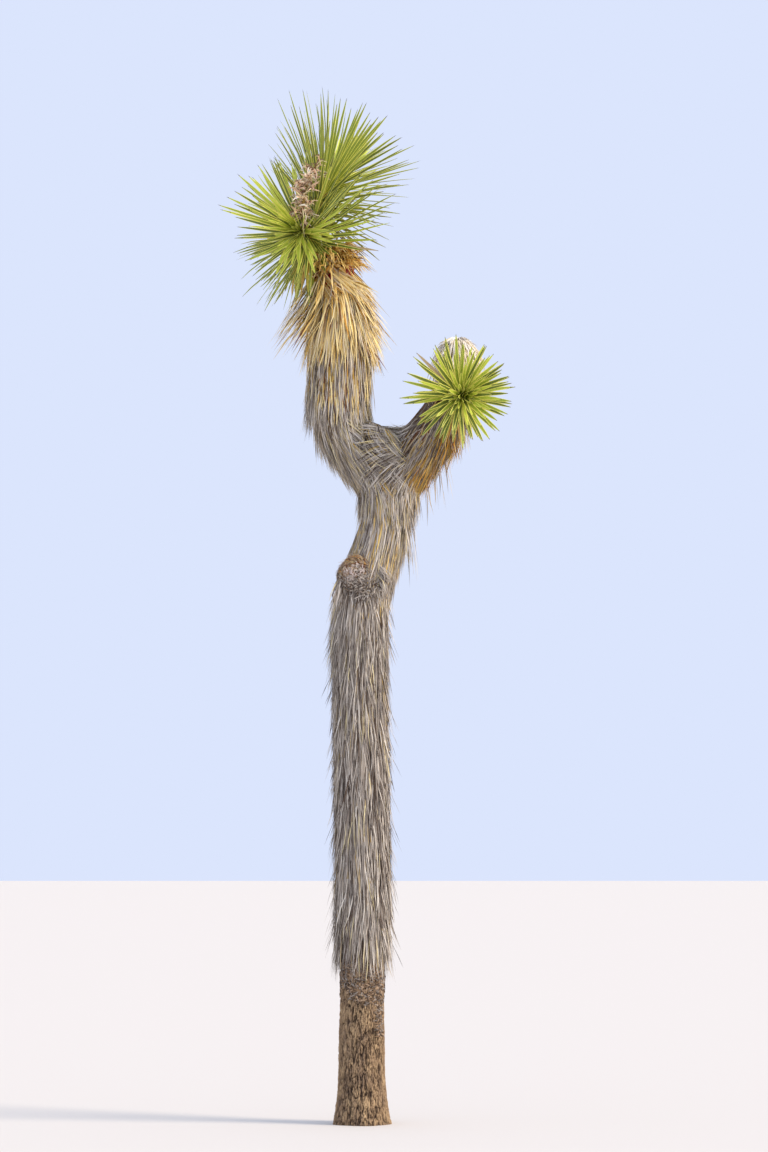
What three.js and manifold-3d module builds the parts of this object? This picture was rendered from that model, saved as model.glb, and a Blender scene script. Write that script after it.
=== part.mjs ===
// A young Joshua tree, Yucca brevifolia, forked once. Its bare, checked foot rises into a trunk wrapped
// in hanging dead leaves. The left bough turns up at a bend and ends in two dagger-leaf rosettes over a
// golden skirt; the right bough ends in a bleached dead head with one live rosette in front of it.
// Units are millimetres, +Z is up, and the origin is the centre of the flat cut at ground level.

import * as THREE from "three";
import { mergeVertices } from "three/addons/utils/BufferGeometryUtils.js";
import Module from "manifold-3d";

const wasm = await Module();
wasm.setup();

// Driving dimensions

const gap = 0.3; // clear space between neighbouring solids
const coatSeam = 1; // clear space between the coats of dead leaves on neighbouring stretches
const finest = 0.08; // detail smaller than this is smoothed away after a cut
const limbSides = 12;
const coatSides = 14;
const stemSides = 8;

// Limb centrelines, from base to tip, each station as x, y, z and the radius of the wood there
const trunkStations = [
  [0, 0, 0, 112],
  [0, 0, 70, 102],
  [-1, 0, 180, 94],
  [0, 0, 340, 88],
  [2, 0, 590, 84],
  [3, 0, 1000, 80],
  [-4, 0, 1500, 77],
  [-6, 0, 1900, 74],
  [10, 2, 2120, 71],
  [62, 4, 2290, 68],
  [100, 4, 2440, 66],
  [110, 4, 2600, 62],
];
const leftBoughStations = [
  [92, 0, 2520, 60],
  [46, 10, 2592, 58],
  [0, 24, 2655, 56],
  [-46, 36, 2722, 55],
  [-82, 46, 2790, 54],
  [-98, 50, 2870, 52],
  [-95, 52, 2960, 50],
  [-90, 52, 3080, 47],
  [-88, 52, 3200, 44],
  [-98, 54, 3320, 42],
  [-128, 56, 3420, 40],
  [-172, 60, 3510, 36],
];
const rightBoughStations = [
  [126, 0, 2550, 60],
  [194, -16, 2646, 58],
  [266, -36, 2732, 56],
  [330, -56, 2826, 53],
  [366, -72, 2930, 48],
  [382, -80, 3050, 38],
];
const leftBendStation = 5; // the left bough is split where it turns upright
const scar = { centre: [-22, -70, 2190], radii: [68, 42, 64] }; // rounded stub of a lost first branch

// Rosettes of live leaves: the short stem that each grows on, as stations, and its leaves. Spreads are
// degrees from the stem for the youngest and the oldest leaf; rooted is the share of the stem in leaf.
const rosettes = {
  right_rosette: {
    stations: [[364, -92, 2898, 34], [380, -172, 2884, 32], [400, -252, 2872, 18]],
    count: 66, seed: 11, length: 222, width: 22, spreadYoung: 8, spreadOld: 102, rooted: 0.62, droop: 0.03,
  },
  lower_rosette: {
    stations: [[-160, 44, 3496, 36], [-196, -34, 3532, 36], [-250, -104, 3554, 20]],
    count: 74, seed: 12, length: 345, width: 24, spreadYoung: 8, spreadOld: 92, rooted: 0.7, droop: 0,
  },
  upper_rosette: {
    stations: [[-174, 62, 3516, 36], [-182, 66, 3620, 36], [-168, 78, 3708, 34], [-118, 104, 3786, 20]],
    count: 76, seed: 13, length: 392, width: 24, spreadYoung: 6, spreadOld: 60, rooted: 0.4, droop: 0,
  },
};
const youngLeafShare = 0.62; // length of the youngest leaf of a rosette beside the old ones
const greenThickness = 6;

// The dried flower stalk between the two upper rosettes, and its twigs
const flowerStalk = {
  stations: [[-186, 30, 3560, 12], [-222, -30, 3640, 11], [-216, -56, 3730, 8], [-172, -66, 3838, 4]],
  count: 14, seed: 14, length: 78, width: 9, spread: 58,
};

// Dead leaves of three kinds
const deadLeaf = { length: 170, width: 24, thickness: 5 };
const skirtLeaf = { length: 270, width: 22, thickness: 5 };
const bleachedLeaf = { length: 190, width: 22, thickness: 4 };

// Coats of dead leaves, from the foot of the tree upwards, each on a span between two stations of a limb
// or on stations of its own. coat is its thickness over the wood, evenly spaced from bottom to top,
// leavesFrom is the share of the span where its leaves start, flare opens them and weight pulls them down.
const coats = {
  trunk_thatch: {
    on: "trunk", span: [4.1, 8], coat: [24, 30], steps: 8, finish: "greyThatch",
    count: 64, seed: 1, kind: deadLeaf, leavesFrom: 0.1, flare: 0.1, weight: 0.4,
  },
  upper_trunk_thatch: {
    on: "trunk", span: [8, 10.25], coat: [30, 34], steps: 5, finish: "greyThatch",
    count: 16, seed: 2, kind: deadLeaf, leavesFrom: 0.3, flare: 0.1, weight: 0.4,
  },
  fork_thatch: {
    stations: [
      [104, 4, 2482, 102],
      [108, 2, 2560, 122],
      [106, 0, 2640, 128],
      [100, 0, 2712, 110],
      [96, 0, 2752, 62],
    ],
    steps: 6, finish: "greyThatch",
    count: 16, seed: 3, kind: deadLeaf, leavesFrom: 0.35, flare: 0.12, weight: 0.3,
  },
  left_lower_thatch: {
    on: "left_bough", span: [0.4, leftBendStation], coat: [40, 48, 66], steps: 7, finish: "greyThatch",
    count: 18, seed: 4, kind: deadLeaf, leavesFrom: 0.4, flare: 0.12, weight: 0.5,
  },
  left_upper_thatch: {
    on: "left_bough", span: [leftBendStation, 7.5], coat: [66, 68, 66], steps: 5, finish: "greyThatch",
    count: 20, seed: 5, kind: deadLeaf, leavesFrom: 0.25, flare: 0.14, weight: 0.5,
  },
  golden_skirt: {
    on: "left_bough", span: [7.5, 10.8], coat: [70, 82, 72, 44, 12], steps: 7, finish: "goldenThatch",
    count: 60, seed: 6, kind: skirtLeaf, leavesFrom: 0.35, flare: 0.32, weight: 1.4,
  },
  right_bough_thatch: {
    on: "right_bough", span: [0.3, 3.1], coat: [46, 44, 40], steps: 7, finish: "greyThatch",
    count: 28, seed: 7, kind: deadLeaf, leavesFrom: 0.25, flare: 0.12, weight: 0.6,
  },
  bleached_head: {
    stations: [[334, -58, 2834, 80], [370, -74, 2930, 82], [382, -80, 3030, 80], [386, -82, 3126, 52]],
    steps: 7, rounded: true, finish: "bleachedLeaf",
    count: 22, seed: 8, kind: bleachedLeaf, leavesFrom: 0.3, flare: 0.12, weight: 0.4,
  },
};

// Colours of the parts in daylight, and how dull they are
const finishes = {
  bark: { color: 0x7a6553, roughness: 0.95 },
  wood: { color: 0x66564a, roughness: 0.95 },
  scarBark: { color: 0x96867c, roughness: 0.95 },
  greyThatch: { color: 0x8f857b, roughness: 0.9 },
  goldenThatch: { color: 0xc9a86a, roughness: 0.8 },
  greenLeaf: { color: 0x9aa34a, roughness: 0.5 },
  bleachedLeaf: { color: 0xe4d9c6, roughness: 0.8 },
  driedFlower: { color: 0xb39a70, roughness: 0.9 },
};

// Small helpers

const goldenAngle = Math.PI * (3 - Math.sqrt(5)); // turn from one leaf to the next
const down = new THREE.Vector3(0, 0, -1);
const { lerp, degToRad } = THREE.MathUtils;

// A repeatable number from -reach to reach for leaf i of the mass with this seed
function jitter(i, seed, reach) {
  const hash = Math.sin(i * 12.9898 + seed * 78.233) * 43758.5453;
  return ((hash - Math.floor(hash)) * 2 - 1) * reach;
}

// The value at a share of the way along a list of evenly spaced values
function alongList(values, share) {
  const place = share * (values.length - 1);
  const i = Math.min(Math.floor(place), values.length - 2);
  return lerp(values[i], values[i + 1], place - i);
}

// A smooth limb through stations: place, radius and a steady cross frame at any share of its run
class Limb {
  constructor(stations) {
    const curveThrough = (pick) =>
      new THREE.CatmullRomCurve3(stations.map(pick), false, "catmullrom", 0.5);
    this.spans = stations.length - 1;
    this.line = curveThrough(([x, y, z]) => new THREE.Vector3(x, y, z));
    this.girth = curveThrough(([, , , radius]) => new THREE.Vector3(radius, 0, 0));
    const chord = this.line.points[this.spans].clone().sub(this.line.points[0]).normalize();
    this.reference = Math.abs(chord.y) < 0.7 ? new THREE.Vector3(0, 1, 0) : new THREE.Vector3(0, 0, 1);
  }

  at(share) {
    const centre = this.line.getPoint(share);
    const tangent = this.line.getTangent(share);
    const side = this.reference.clone().cross(tangent).normalize();
    const back = tangent.clone().cross(side);
    return { centre, tangent, side, back, radius: this.girth.getPoint(share).x };
  }

  // The share of the run that lies a distance past a station
  past(station, distance) {
    const share = station / this.spans;
    const step = 1e-3;
    const from = Math.min(share, 1 - step);
    const speed = this.line.getPoint(from).distanceTo(this.line.getPoint(from + step)) / step;
    return share + distance / speed;
  }
}

// The direction out of a limb's ring at a turn around it
function outwardAt({ side, back }, turn) {
  return side.clone().multiplyScalar(Math.cos(turn)).addScaledVector(back, Math.sin(turn));
}

// The direction that leans a number of degrees away from a tangent
function leaning(tangent, outward, degrees) {
  const lean = degToRad(degrees);
  return tangent.clone().multiplyScalar(Math.cos(lean)).addScaledVector(outward, Math.sin(lean));
}

// The closed solid of a geometry
function solidOf(geometry) {
  geometry.deleteAttribute("normal");
  geometry.deleteAttribute("uv");
  const merged = mergeVertices(geometry, 1e-4);
  const vertProperties = merged.attributes.position.array;
  const triVerts = new Uint32Array(merged.index.array);
  return new wasm.Manifold(new wasm.Mesh({ numProp: 3, vertProperties, triVerts }));
}

// Joins solids into one and keeps its largest shell, so that loose scraps and sealed hollows go
function fused(solids) {
  const shells = wasm.Manifold.union(solids).decompose();
  return shells.reduce((a, b) => (a.volume() > b.volume() ? a : b)).simplify(finest);
}

function cutBy(solid, cutters) {
  return fused([cutters.reduce((left, cutter) => left.subtract(cutter), solid)]);
}

// Shapes

const evenTip = () => 1;
const roundTip = (run) => (run > 0.97 ? 0.55 : run > 0.88 ? 0.85 : 1);

// A round body carried along a limb between two shares of its run. coat is added to the wood's radius,
// tip scales the sum, and grow widens and lengthens the body, for cutting its neighbours clear of it.
function tube({ limb, from = 0, to = 1, steps, sides = limbSides, coat = [0, 0], tip = evenTip }, grow = 0) {
  const geometry = new THREE.CylinderGeometry(1, 1, 1, sides, steps);
  const position = geometry.attributes.position;
  const vertex = new THREE.Vector3();
  for (let i = 0; i < position.count; i++) {
    vertex.fromBufferAttribute(position, i);
    const run = vertex.y + 0.5;
    const ring = limb.at(lerp(from, to, run));
    const radius = (ring.radius + alongList(coat, run)) * tip(run) + grow;
    const beyond = run === 0 ? -grow : run === 1 ? grow : 0;
    const place = ring.centre
      .addScaledVector(ring.side, vertex.x * radius)
      .addScaledVector(ring.back, -vertex.z * radius)
      .addScaledVector(ring.tangent, beyond);
    position.setXYZ(i, place.x, place.y, place.z);
  }
  return solidOf(geometry);
}

function ellipsoid({ centre, radii }, grow = 0) {
  const geometry = new THREE.SphereGeometry(1, 14, 9);
  geometry.scale(...radii.map((radius) => radius + grow));
  geometry.translate(...centre);
  return solidOf(geometry);
}

// One blade of eight faces: sharp at both ends, widest a share of the way out, drooping towards its tip
function blade({ root, along, upward, length, width, thickness, widest, droop = 0 }, grow = 0) {
  const geometry = new THREE.OctahedronGeometry(1);
  const position = geometry.attributes.position;
  const across = along.clone().cross(upward).normalize();
  const above = across.clone().cross(along);
  const corner = new THREE.Vector3();
  for (let i = 0; i < position.count; i++) {
    corner.fromBufferAttribute(position, i);
    const share = corner.y > 0.5 ? 1 : corner.y < -0.5 ? 0 : widest;
    const place = root
      .clone()
      .addScaledVector(along, share * length + grow * corner.y)
      .addScaledVector(across, corner.x * (width / 2 + grow))
      .addScaledVector(above, corner.z * (thickness / 2 + grow))
      .addScaledVector(down, droop * length * share ** 2);
    position.setXYZ(i, place.x, place.y, place.z);
  }
  return solidOf(geometry);
}

// Leaf rules: each gives the blades of one mass

// A rosette's leaves, from the upright young ones at the stem's tip to the spread old ones below it
function rosetteLeaves({ limb, count, seed, length, width, spreadYoung, spreadOld, rooted, droop }) {
  return Array.from({ length: count }, (_, i) => {
    const age = (i + 0.5) / count;
    const ring = limb.at(1 - age * rooted);
    const outward = outwardAt(ring, i * goldenAngle + jitter(i, seed, 0.12));
    const spread = lerp(spreadYoung, spreadOld, age ** 0.75) + jitter(i, seed + 1, 5);
    return {
      root: ring.centre.addScaledVector(outward, ring.radius * 0.4),
      along: leaning(ring.tangent, outward, spread),
      upward: ring.tangent,
      length: length * Math.min(1, youngLeafShare + 1.6 * age) * (1 + jitter(i, seed + 2, 0.07)),
      width,
      thickness: greenThickness,
      widest: 0.22,
      droop: droop * age,
    };
  });
}

// Dead leaves on a coat: each hangs back along the limb, pulled down by its weight, held off the coat by
// it, and flared outwards
function hangingLeaves({ limb, from, to, coat, leavesFrom, count, seed, kind, flare, weight }) {
  return Array.from({ length: count }, (_, i) => {
    const run = lerp(leavesFrom, 1, (i + 0.5) / count);
    const ring = limb.at(lerp(from, to, run));
    const outward = outwardAt(ring, i * goldenAngle + jitter(i, seed, 0.2));
    const along = ring.tangent.clone().negate().addScaledVector(down, weight);
    along.addScaledVector(outward, -Math.min(0, along.dot(outward))).normalize();
    along.addScaledVector(outward, flare * (1 + jitter(i, seed + 1, 0.5))).normalize();
    const sunk = kind.thickness * 1.6;
    return {
      root: ring.centre.addScaledVector(outward, ring.radius + alongList(coat, run) - sunk),
      along,
      upward: outward,
      length: kind.length * (1 + jitter(i, seed + 2, 0.15)),
      width: kind.width,
      thickness: kind.thickness,
      widest: 0.35,
    };
  });
}

// Short twigs that leave the flower stalk all round it, up and out
function stalkTwigs({ limb, count, seed, length, width, spread }) {
  return Array.from({ length: count }, (_, i) => {
    const ring = limb.at(lerp(0.3, 0.98, (i + 0.5) / count));
    const outward = outwardAt(ring, i * goldenAngle);
    return {
      root: ring.centre,
      along: leaning(ring.tangent, outward, spread + jitter(i, seed, 22)),
      upward: ring.tangent,
      length: length * (1 + jitter(i, seed + 1, 0.3)),
      width,
      thickness: width,
      widest: 0.4,
    };
  });
}

// Limbs

const lines = {
  trunk: new Limb(trunkStations),
  left_bough: new Limb(leftBoughStations),
  right_bough: new Limb(rightBoughStations),
};
const leftBough = lines.left_bough;
const limbShapes = {
  trunk: { limb: lines.trunk, steps: 16, tip: roundTip },
  leftLower: { limb: leftBough, to: leftBough.past(leftBendStation, 0), steps: 6 },
  leftUpper: { limb: leftBough, from: leftBough.past(leftBendStation, gap), steps: 9, tip: roundTip },
  right: { limb: lines.right_bough, steps: 8, tip: roundTip },
};
const limbCutters = Object.values(limbShapes).map((shape) => tube(shape, gap));
const [trunkCutter, leftLowerCutter] = limbCutters;

const limbs = {
  trunk: { solid: tube(limbShapes.trunk), finish: "bark" },
  branch_scar: { solid: cutBy(ellipsoid(scar), [trunkCutter]), finish: "scarBark" },
  left_bough_lower: { solid: cutBy(tube(limbShapes.leftLower), [trunkCutter]), finish: "wood" },
  left_bough_upper: { solid: tube(limbShapes.leftUpper), finish: "wood" },
  right_bough: { solid: cutBy(tube(limbShapes.right), [trunkCutter, leftLowerCutter]), finish: "wood" },
};

// Bodies of the masses, each clear of the limbs and of the bodies made before it

const cutters = [...limbCutters];
const masses = {};

for (const [name, plan] of Object.entries({ ...rosettes, dried_flower_stalk: flowerStalk })) {
  const limb = new Limb(plan.stations);
  const stem = { limb, steps: 3, sides: stemSides, tip: roundTip };
  const isStalk = plan === flowerStalk;
  masses[name] = {
    body: cutBy(tube(stem), cutters),
    blades: isStalk ? stalkTwigs({ ...plan, limb }) : rosetteLeaves({ ...plan, limb }),
    finish: isStalk ? "driedFlower" : "greenLeaf",
  };
  cutters.push(tube(stem, gap));
}
cutters.push(ellipsoid(scar, gap));

for (const [name, plan] of Object.entries(coats)) {
  const limb = plan.stations ? new Limb(plan.stations) : lines[plan.on];
  const [from, to] = plan.span
    ? [limb.past(plan.span[0], coatSeam / 2), limb.past(plan.span[1], -coatSeam / 2)]
    : [0, 1];
  const tip = plan.rounded ? roundTip : evenTip;
  const whole = { coat: [0, 0], ...plan, limb, from, to, tip, sides: coatSides };
  masses[name] = {
    body: cutBy(tube(whole), cutters),
    blades: hangingLeaves(whole),
    finish: plan.finish,
  };
  cutters.push(tube(whole, gap));
}

// Leaves are fused on mass by mass, and one that would touch another solid is skipped

const solids = {};
for (const [name, { solid }] of Object.entries(limbs)) solids[name] = solid;
for (const [name, { body }] of Object.entries(masses)) solids[name] = body;
for (const [name, { body, blades }] of Object.entries(masses)) {
  const others = wasm.Manifold.union(
    Object.keys(solids)
      .filter((other) => other !== name)
      .map((other) => solids[other]),
  );
  const clear = blades.filter((leaf) => blade(leaf, gap).intersect(others).isEmpty());
  solids[name] = fused([body, ...clear.map((leaf) => blade(leaf))]);
}

// The scene graph: one group for each limb, placed at the limb's foot, holding what the limb carries

const branches = [
  { foot: trunkStations[0], carries: ["trunk", "branch_scar", "trunk_thatch", "upper_trunk_thatch"] },
  {
    foot: leftBoughStations[0],
    carries: [
      "left_bough_lower",
      "left_bough_upper",
      "fork_thatch",
      "left_lower_thatch",
      "left_upper_thatch",
      "golden_skirt",
      "lower_rosette",
      "upper_rosette",
      "dried_flower_stalk",
    ],
  },
  {
    foot: rightBoughStations[0],
    carries: ["right_bough", "right_bough_thatch", "bleached_head", "right_rosette"],
  },
];

function meshOf(name, [x, y, z]) {
  const { numProp, vertProperties, triVerts } = solids[name].getMesh();
  const geometry = new THREE.BufferGeometry();
  geometry.setAttribute("position", new THREE.BufferAttribute(vertProperties, numProp));
  geometry.setIndex(new THREE.BufferAttribute(triVerts, 1));
  geometry.translate(-x, -y, -z);
  geometry.computeVertexNormals();
  const { finish } = limbs[name] ?? masses[name];
  const material = new THREE.MeshStandardMaterial({ ...finishes[finish], metalness: 0 });
  const mesh = new THREE.Mesh(geometry, material);
  mesh.name = name;
  return mesh;
}

const tree = new THREE.Group();
for (const { foot, carries } of branches) {
  const branch = new THREE.Group();
  branch.position.set(...foot.slice(0, 3));
  branch.add(...carries.map((name) => meshOf(name, foot)));
  tree.add(branch);
}

export default tree;
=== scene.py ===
# A young Joshua tree, Yucca brevifolia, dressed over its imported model: checked bark at the foot, shaggy
# coats of hanging dead leaves, a golden skirt, three dagger-leaf rosettes, a dried flower stalk and a
# bleached dead head. Sizes are millimetres until a mesh is made, then metres.
import math

import bpy
import numpy as np
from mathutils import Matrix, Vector


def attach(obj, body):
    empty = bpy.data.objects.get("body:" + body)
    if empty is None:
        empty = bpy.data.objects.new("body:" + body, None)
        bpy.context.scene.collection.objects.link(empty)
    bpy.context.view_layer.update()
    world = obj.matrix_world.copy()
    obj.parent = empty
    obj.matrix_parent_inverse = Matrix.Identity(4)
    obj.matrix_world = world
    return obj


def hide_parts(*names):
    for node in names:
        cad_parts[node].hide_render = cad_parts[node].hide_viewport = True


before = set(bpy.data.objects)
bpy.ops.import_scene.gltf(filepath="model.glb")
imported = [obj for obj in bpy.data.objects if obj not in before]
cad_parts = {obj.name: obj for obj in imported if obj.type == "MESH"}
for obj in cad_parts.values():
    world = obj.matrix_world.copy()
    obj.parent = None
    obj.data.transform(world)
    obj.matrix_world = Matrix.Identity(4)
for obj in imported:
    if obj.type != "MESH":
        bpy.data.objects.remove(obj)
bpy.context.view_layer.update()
mm = 0.001
down = np.array([0.0, 0.0, -1.0])
goldenAngle = math.pi * (3 - math.sqrt(5))  # turn from one leaf to the next
print("frame loaded:", len(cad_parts), "nodes")


# Small helpers on whole arrays

def unit(v):
    return v / np.maximum(np.linalg.norm(v, axis=-1, keepdims=True), 1e-12)


def dot(a, b):
    return np.sum(a * b, axis=-1, keepdims=True)


def column(values):
    return np.asarray(values, float)[..., None]


def lerp(a, b, share):
    return a + (b - a) * share


def smoothStep(low, high, x):
    t = np.clip((x - low) / (high - low), 0, 1)
    return t * t * (3 - 2 * t)


def alongList(values, share):
    # the value at a share of the way along a list of evenly spaced values
    return np.interp(share, np.linspace(0, 1, len(values)), values)


def jitter(i, seed, reach):
    # the source's repeatable number from -reach to reach for leaf i: the fraction of a large sine
    wild = np.sin(i * 12.9898 + seed * 78.233) * 43758.5453
    return ((wild - np.floor(wild)) * 2 - 1) * reach


def chance(i, seed):
    # the same number, from 0 to 1
    return jitter(i, seed, 0.5) + 0.5


def scatter(i, seed, reach):
    # a random vector for each leaf, every part of it from -reach to reach
    return np.stack([jitter(i, seed + k, reach) for k in range(3)], axis=-1)


def softNoise(place, seed=0):
    # random numbers at the corners of unit cells, blended between them by 3t^2 - 2t^3, from 0 to 1
    cell = np.floor(place)
    blend = place - cell
    blend = blend * blend * (3 - 2 * blend)
    total = 0
    for corner in np.ndindex(2, 2, 2):
        wild = np.sin((cell + corner) @ [127.1, 311.7, 74.7] + seed * 57.31) * 43758.5453
        share = np.where(corner, blend, 1 - blend).prod(axis=-1)
        total = total + (wild - np.floor(wild)) * share
    return total


def roughNoise(place, seed=0, octaves=3):
    # soft noise at doubling scales and halving strengths, from 0 to 1
    total = sum(softNoise(place * 2.03**k, seed + k) * 0.5**k for k in range(octaves))
    return total / (2 - 0.5 ** (octaves - 1))


# Limbs, as in the part's source

class Limb:
    # A smooth line through stations of x, y, z and radius: the uniform Catmull-Rom curve whose end
    # points go on straight. Its cross frame is side = reference x tangent and back = tangent x side.
    def __init__(self, stations):
        points = np.array(stations, float)
        self.points = np.vstack([2 * points[0] - points[1], points, 2 * points[-1] - points[-2]])
        self.spans = len(points) - 1
        chord = unit(points[-1, :3] - points[0, :3])
        self.reference = np.array([0.0, 1, 0]) if abs(chord[1]) < 0.7 else np.array([0.0, 0, 1])
        walk = self.at(np.linspace(0, 1, 200))["centre"]
        self.length = np.linalg.norm(np.diff(walk, axis=0), axis=1).sum()

    def at(self, share):
        place = np.clip(np.asarray(share, float), 0, 1) * self.spans
        span = np.minimum(place.astype(int), self.spans - 1)
        t = column(place - span)
        before, start, end, after = (self.points[span + k] for k in range(4))
        pull, push = (end - before) / 2, (after - start) / 2
        bend = 3 * (end - start) - 2 * pull - push
        twist = 2 * (start - end) + pull + push
        value = start + pull * t + bend * t**2 + twist * t**3
        tangent = unit((pull + 2 * bend * t + 3 * twist * t**2)[..., :3])
        side = unit(np.cross(self.reference, tangent))
        return {
            "centre": value[..., :3],
            "radius": value[..., 3],
            "tangent": tangent,
            "side": side,
            "back": np.cross(tangent, side),
        }

    def past(self, station, distance):
        # the share of the run that lies a distance past a station
        share = station / self.spans
        start = min(share, 1 - 1e-3)
        pair = self.at(np.array([start, start + 1e-3]))["centre"]
        return share + distance / (np.linalg.norm(pair[1] - pair[0]) / 1e-3)


def outwardAt(ring, turn):
    return ring["side"] * np.cos(column(turn)) + ring["back"] * np.sin(column(turn))


def leaning(tangent, outward, degrees):
    lean = np.radians(column(degrees))
    return tangent * np.cos(lean) + outward * np.sin(lean)


trunkStations = [
    (0, 0, 0, 112), (0, 0, 70, 102), (-1, 0, 180, 94), (0, 0, 340, 88), (2, 0, 590, 84), (3, 0, 1000, 80),
    (-4, 0, 1500, 77), (-6, 0, 1900, 74), (10, 2, 2120, 71), (62, 4, 2290, 68), (100, 4, 2440, 66),
    (110, 4, 2600, 62),
]
leftBoughStations = [
    (92, 0, 2520, 60), (46, 10, 2592, 58), (0, 24, 2655, 56), (-46, 36, 2722, 55), (-82, 46, 2790, 54),
    (-98, 50, 2870, 52), (-95, 52, 2960, 50), (-90, 52, 3080, 47), (-88, 52, 3200, 44), (-98, 54, 3320, 42),
    (-128, 56, 3420, 40), (-172, 60, 3510, 36),
]
rightBoughStations = [
    (126, 0, 2550, 60), (194, -16, 2646, 58), (266, -36, 2732, 56), (330, -56, 2826, 53),
    (366, -72, 2930, 48), (382, -80, 3050, 38),
]
limbs = {
    "trunk": Limb(trunkStations),
    "leftBough": Limb(leftBoughStations),
    "rightBough": Limb(rightBoughStations),
}


# Finishes

def linear(rgb):
    # a screen colour, 0 to 255, as the linear colour that a shader takes
    c = np.array(rgb) / 255
    return (*np.where(c <= 0.04045, c / 12.92, ((c + 0.055) / 1.055) ** 2.4), 1.0)


class Reading:
    # A shader socket on which Python's operators add Math nodes
    def __init__(self, finish, socket):
        self.finish = finish
        self.socket = socket

    def __add__(self, other):
        return self.finish.sum("ADD", self, other)

    def __sub__(self, other):
        return self.finish.sum("SUBTRACT", self, other)

    def __rsub__(self, other):
        return self.finish.sum("SUBTRACT", other, self)

    def __mul__(self, other):
        return self.finish.sum("MULTIPLY", self, other)

    __radd__ = __add__
    __rmul__ = __mul__


class Finish:
    # One material: a Principled shader, with the nodes that drive it
    def __init__(self, name, colour, roughness, specular=0.3):
        self.material = bpy.data.materials.new(name)
        self.material.use_nodes = True
        self.tree = self.material.node_tree
        self.shader = self.tree.nodes["Principled BSDF"]
        self.shader.inputs["Base Color"].default_value = linear(colour)
        self.shader.inputs["Roughness"].default_value = roughness
        self.shader.inputs["Specular IOR Level"].default_value = specular

    def feed(self, socket, value):
        if isinstance(value, Reading):
            self.tree.links.new(value.socket, socket)
        else:
            socket.default_value = value

    def node(self, kind, settings=None, **inputs):
        # settings go first; stops are a ramp's places and colours; inputs are values or readings
        made = self.tree.nodes.new(kind)
        for key, value in (settings or {}).items():
            if key == "stops":
                ramp = made.color_ramp
                while len(ramp.elements) < len(value):
                    ramp.elements.new(0.5)
                for element, (place, colour) in zip(ramp.elements, value):
                    element.position = place
                    element.color = linear(colour)
            else:
                setattr(made, key, value)
        for key, value in inputs.items():
            at = int(key[1:]) if key[1:].isdigit() else key.replace("_", " ")
            self.feed(made.inputs[at], value)
        return made

    def sum(self, operation, a, b):
        return Reading(self, self.node("ShaderNodeMath", {"operation": operation}, _0=a, _1=b).outputs[0])

    def noise(self, scale, detail=3.0, rough=0.5, kind="Object", stretch=(1, 1, 1)):
        place = Reading(self, self.node("ShaderNodeTexCoord").outputs[kind])
        where = Reading(self, self.node("ShaderNodeMapping", Vector=place, Scale=stretch).outputs[0])
        made = self.node("ShaderNodeTexNoise", Vector=where, Scale=scale, Detail=detail, Roughness=rough)
        return Reading(self, made.outputs[0])

    def reading(self, attribute):
        made = self.node("ShaderNodeAttribute", {"attribute_name": attribute})
        return Reading(self, made.outputs["Fac"])

    def ramp(self, value, stops):
        made = self.node("ShaderNodeValToRGB", {"stops": stops}, Fac=value)
        return Reading(self, made.outputs["Color"])

    def blend(self, share, a, b):
        made = self.node("ShaderNodeMix", {"data_type": "RGBA"}, _0=share, _6=a, _7=b)
        return Reading(self, made.outputs[2])

    def wear(self, colour=None, roughness=None, height=None, distance=0.001, strength=1.0):
        # what changes over the surface
        if colour is not None:
            self.feed(self.shader.inputs["Base Color"], colour)
        if roughness is not None:
            self.feed(self.shader.inputs["Roughness"], roughness)
        if height is not None:
            bump = self.node("ShaderNodeBump", None, Height=height, Distance=distance, Strength=strength)
            self.tree.links.new(bump.outputs[0], self.shader.inputs["Normal"])
        return self.material


def leafFinish(name, colour, roughness, specular=0.25):
    # one plain tint of leaf: fibres run along the blade in its bump and in how dull it is
    finish = Finish(name, colour, roughness, specular)
    fibre = finish.noise(1.0, 4.0, 0.6, "UV", (1900, 26, 1))
    blotch = finish.noise(60.0, 2.0)
    return finish.wear(
        roughness=fibre * 0.16 + blotch * 0.14 + (roughness - 0.15),
        height=fibre,
        distance=0.0006,
        strength=0.5,
    )


def barkFinish():
    # plates of brown and grey-tan over dark cracks, by the relief kept on the mesh; the near-black in the
    # cracks is painted shade over the bark's own darker colour there
    finish = Finish("bark", (122, 101, 83), 0.95, 0.15)
    depth = finish.reading("relief")
    plate = finish.reading("plate")
    grain = finish.noise(120.0, 6.0, 0.7, "Object", (1, 1, 0.3))
    worn = finish.noise(7.0, 3.0)
    face = finish.ramp(
        plate * 0.5 + worn * 0.25 + grain * 0.6 - 0.18,
        [(0.0, (92, 76, 64)), (0.3, (134, 112, 92)), (0.5, (172, 144, 112)), (0.75, (202, 172, 132)),
         (1.0, (218, 200, 172))],
    )
    # the cracks' colour, darkest at the bottom of the relief: painted shade over the bark's darker colour
    furrowShade = finish.ramp(grain, [(0.0, (26, 20, 18)), (1.0, (70, 54, 44))])
    finish.wear(
        colour=finish.blend(depth, furrowShade, face),
        roughness=grain * 0.2 + 0.78,
        height=grain * 0.7 + finish.noise(420.0, 3.0) * 0.3,
        distance=0.003,
        strength=0.9,
    )
    return finish.material


def matFinish(name, deep, high):
    # packed leaf bases and fibres in the shade of a coat, their dark deep colour painted as that shade
    finish = Finish(name, deep, 0.95, 0.1)
    fibre = finish.noise(150.0, 4.0, 0.6, "Object", (1, 1, 0.12))
    finish.wear(
        colour=finish.blend(fibre * finish.reading("relief"), linear(deep), linear(high)),
        roughness=fibre * 0.2 + 0.78,
        height=fibre,
        distance=0.003,
        strength=0.9,
    )
    return finish.material


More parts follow.
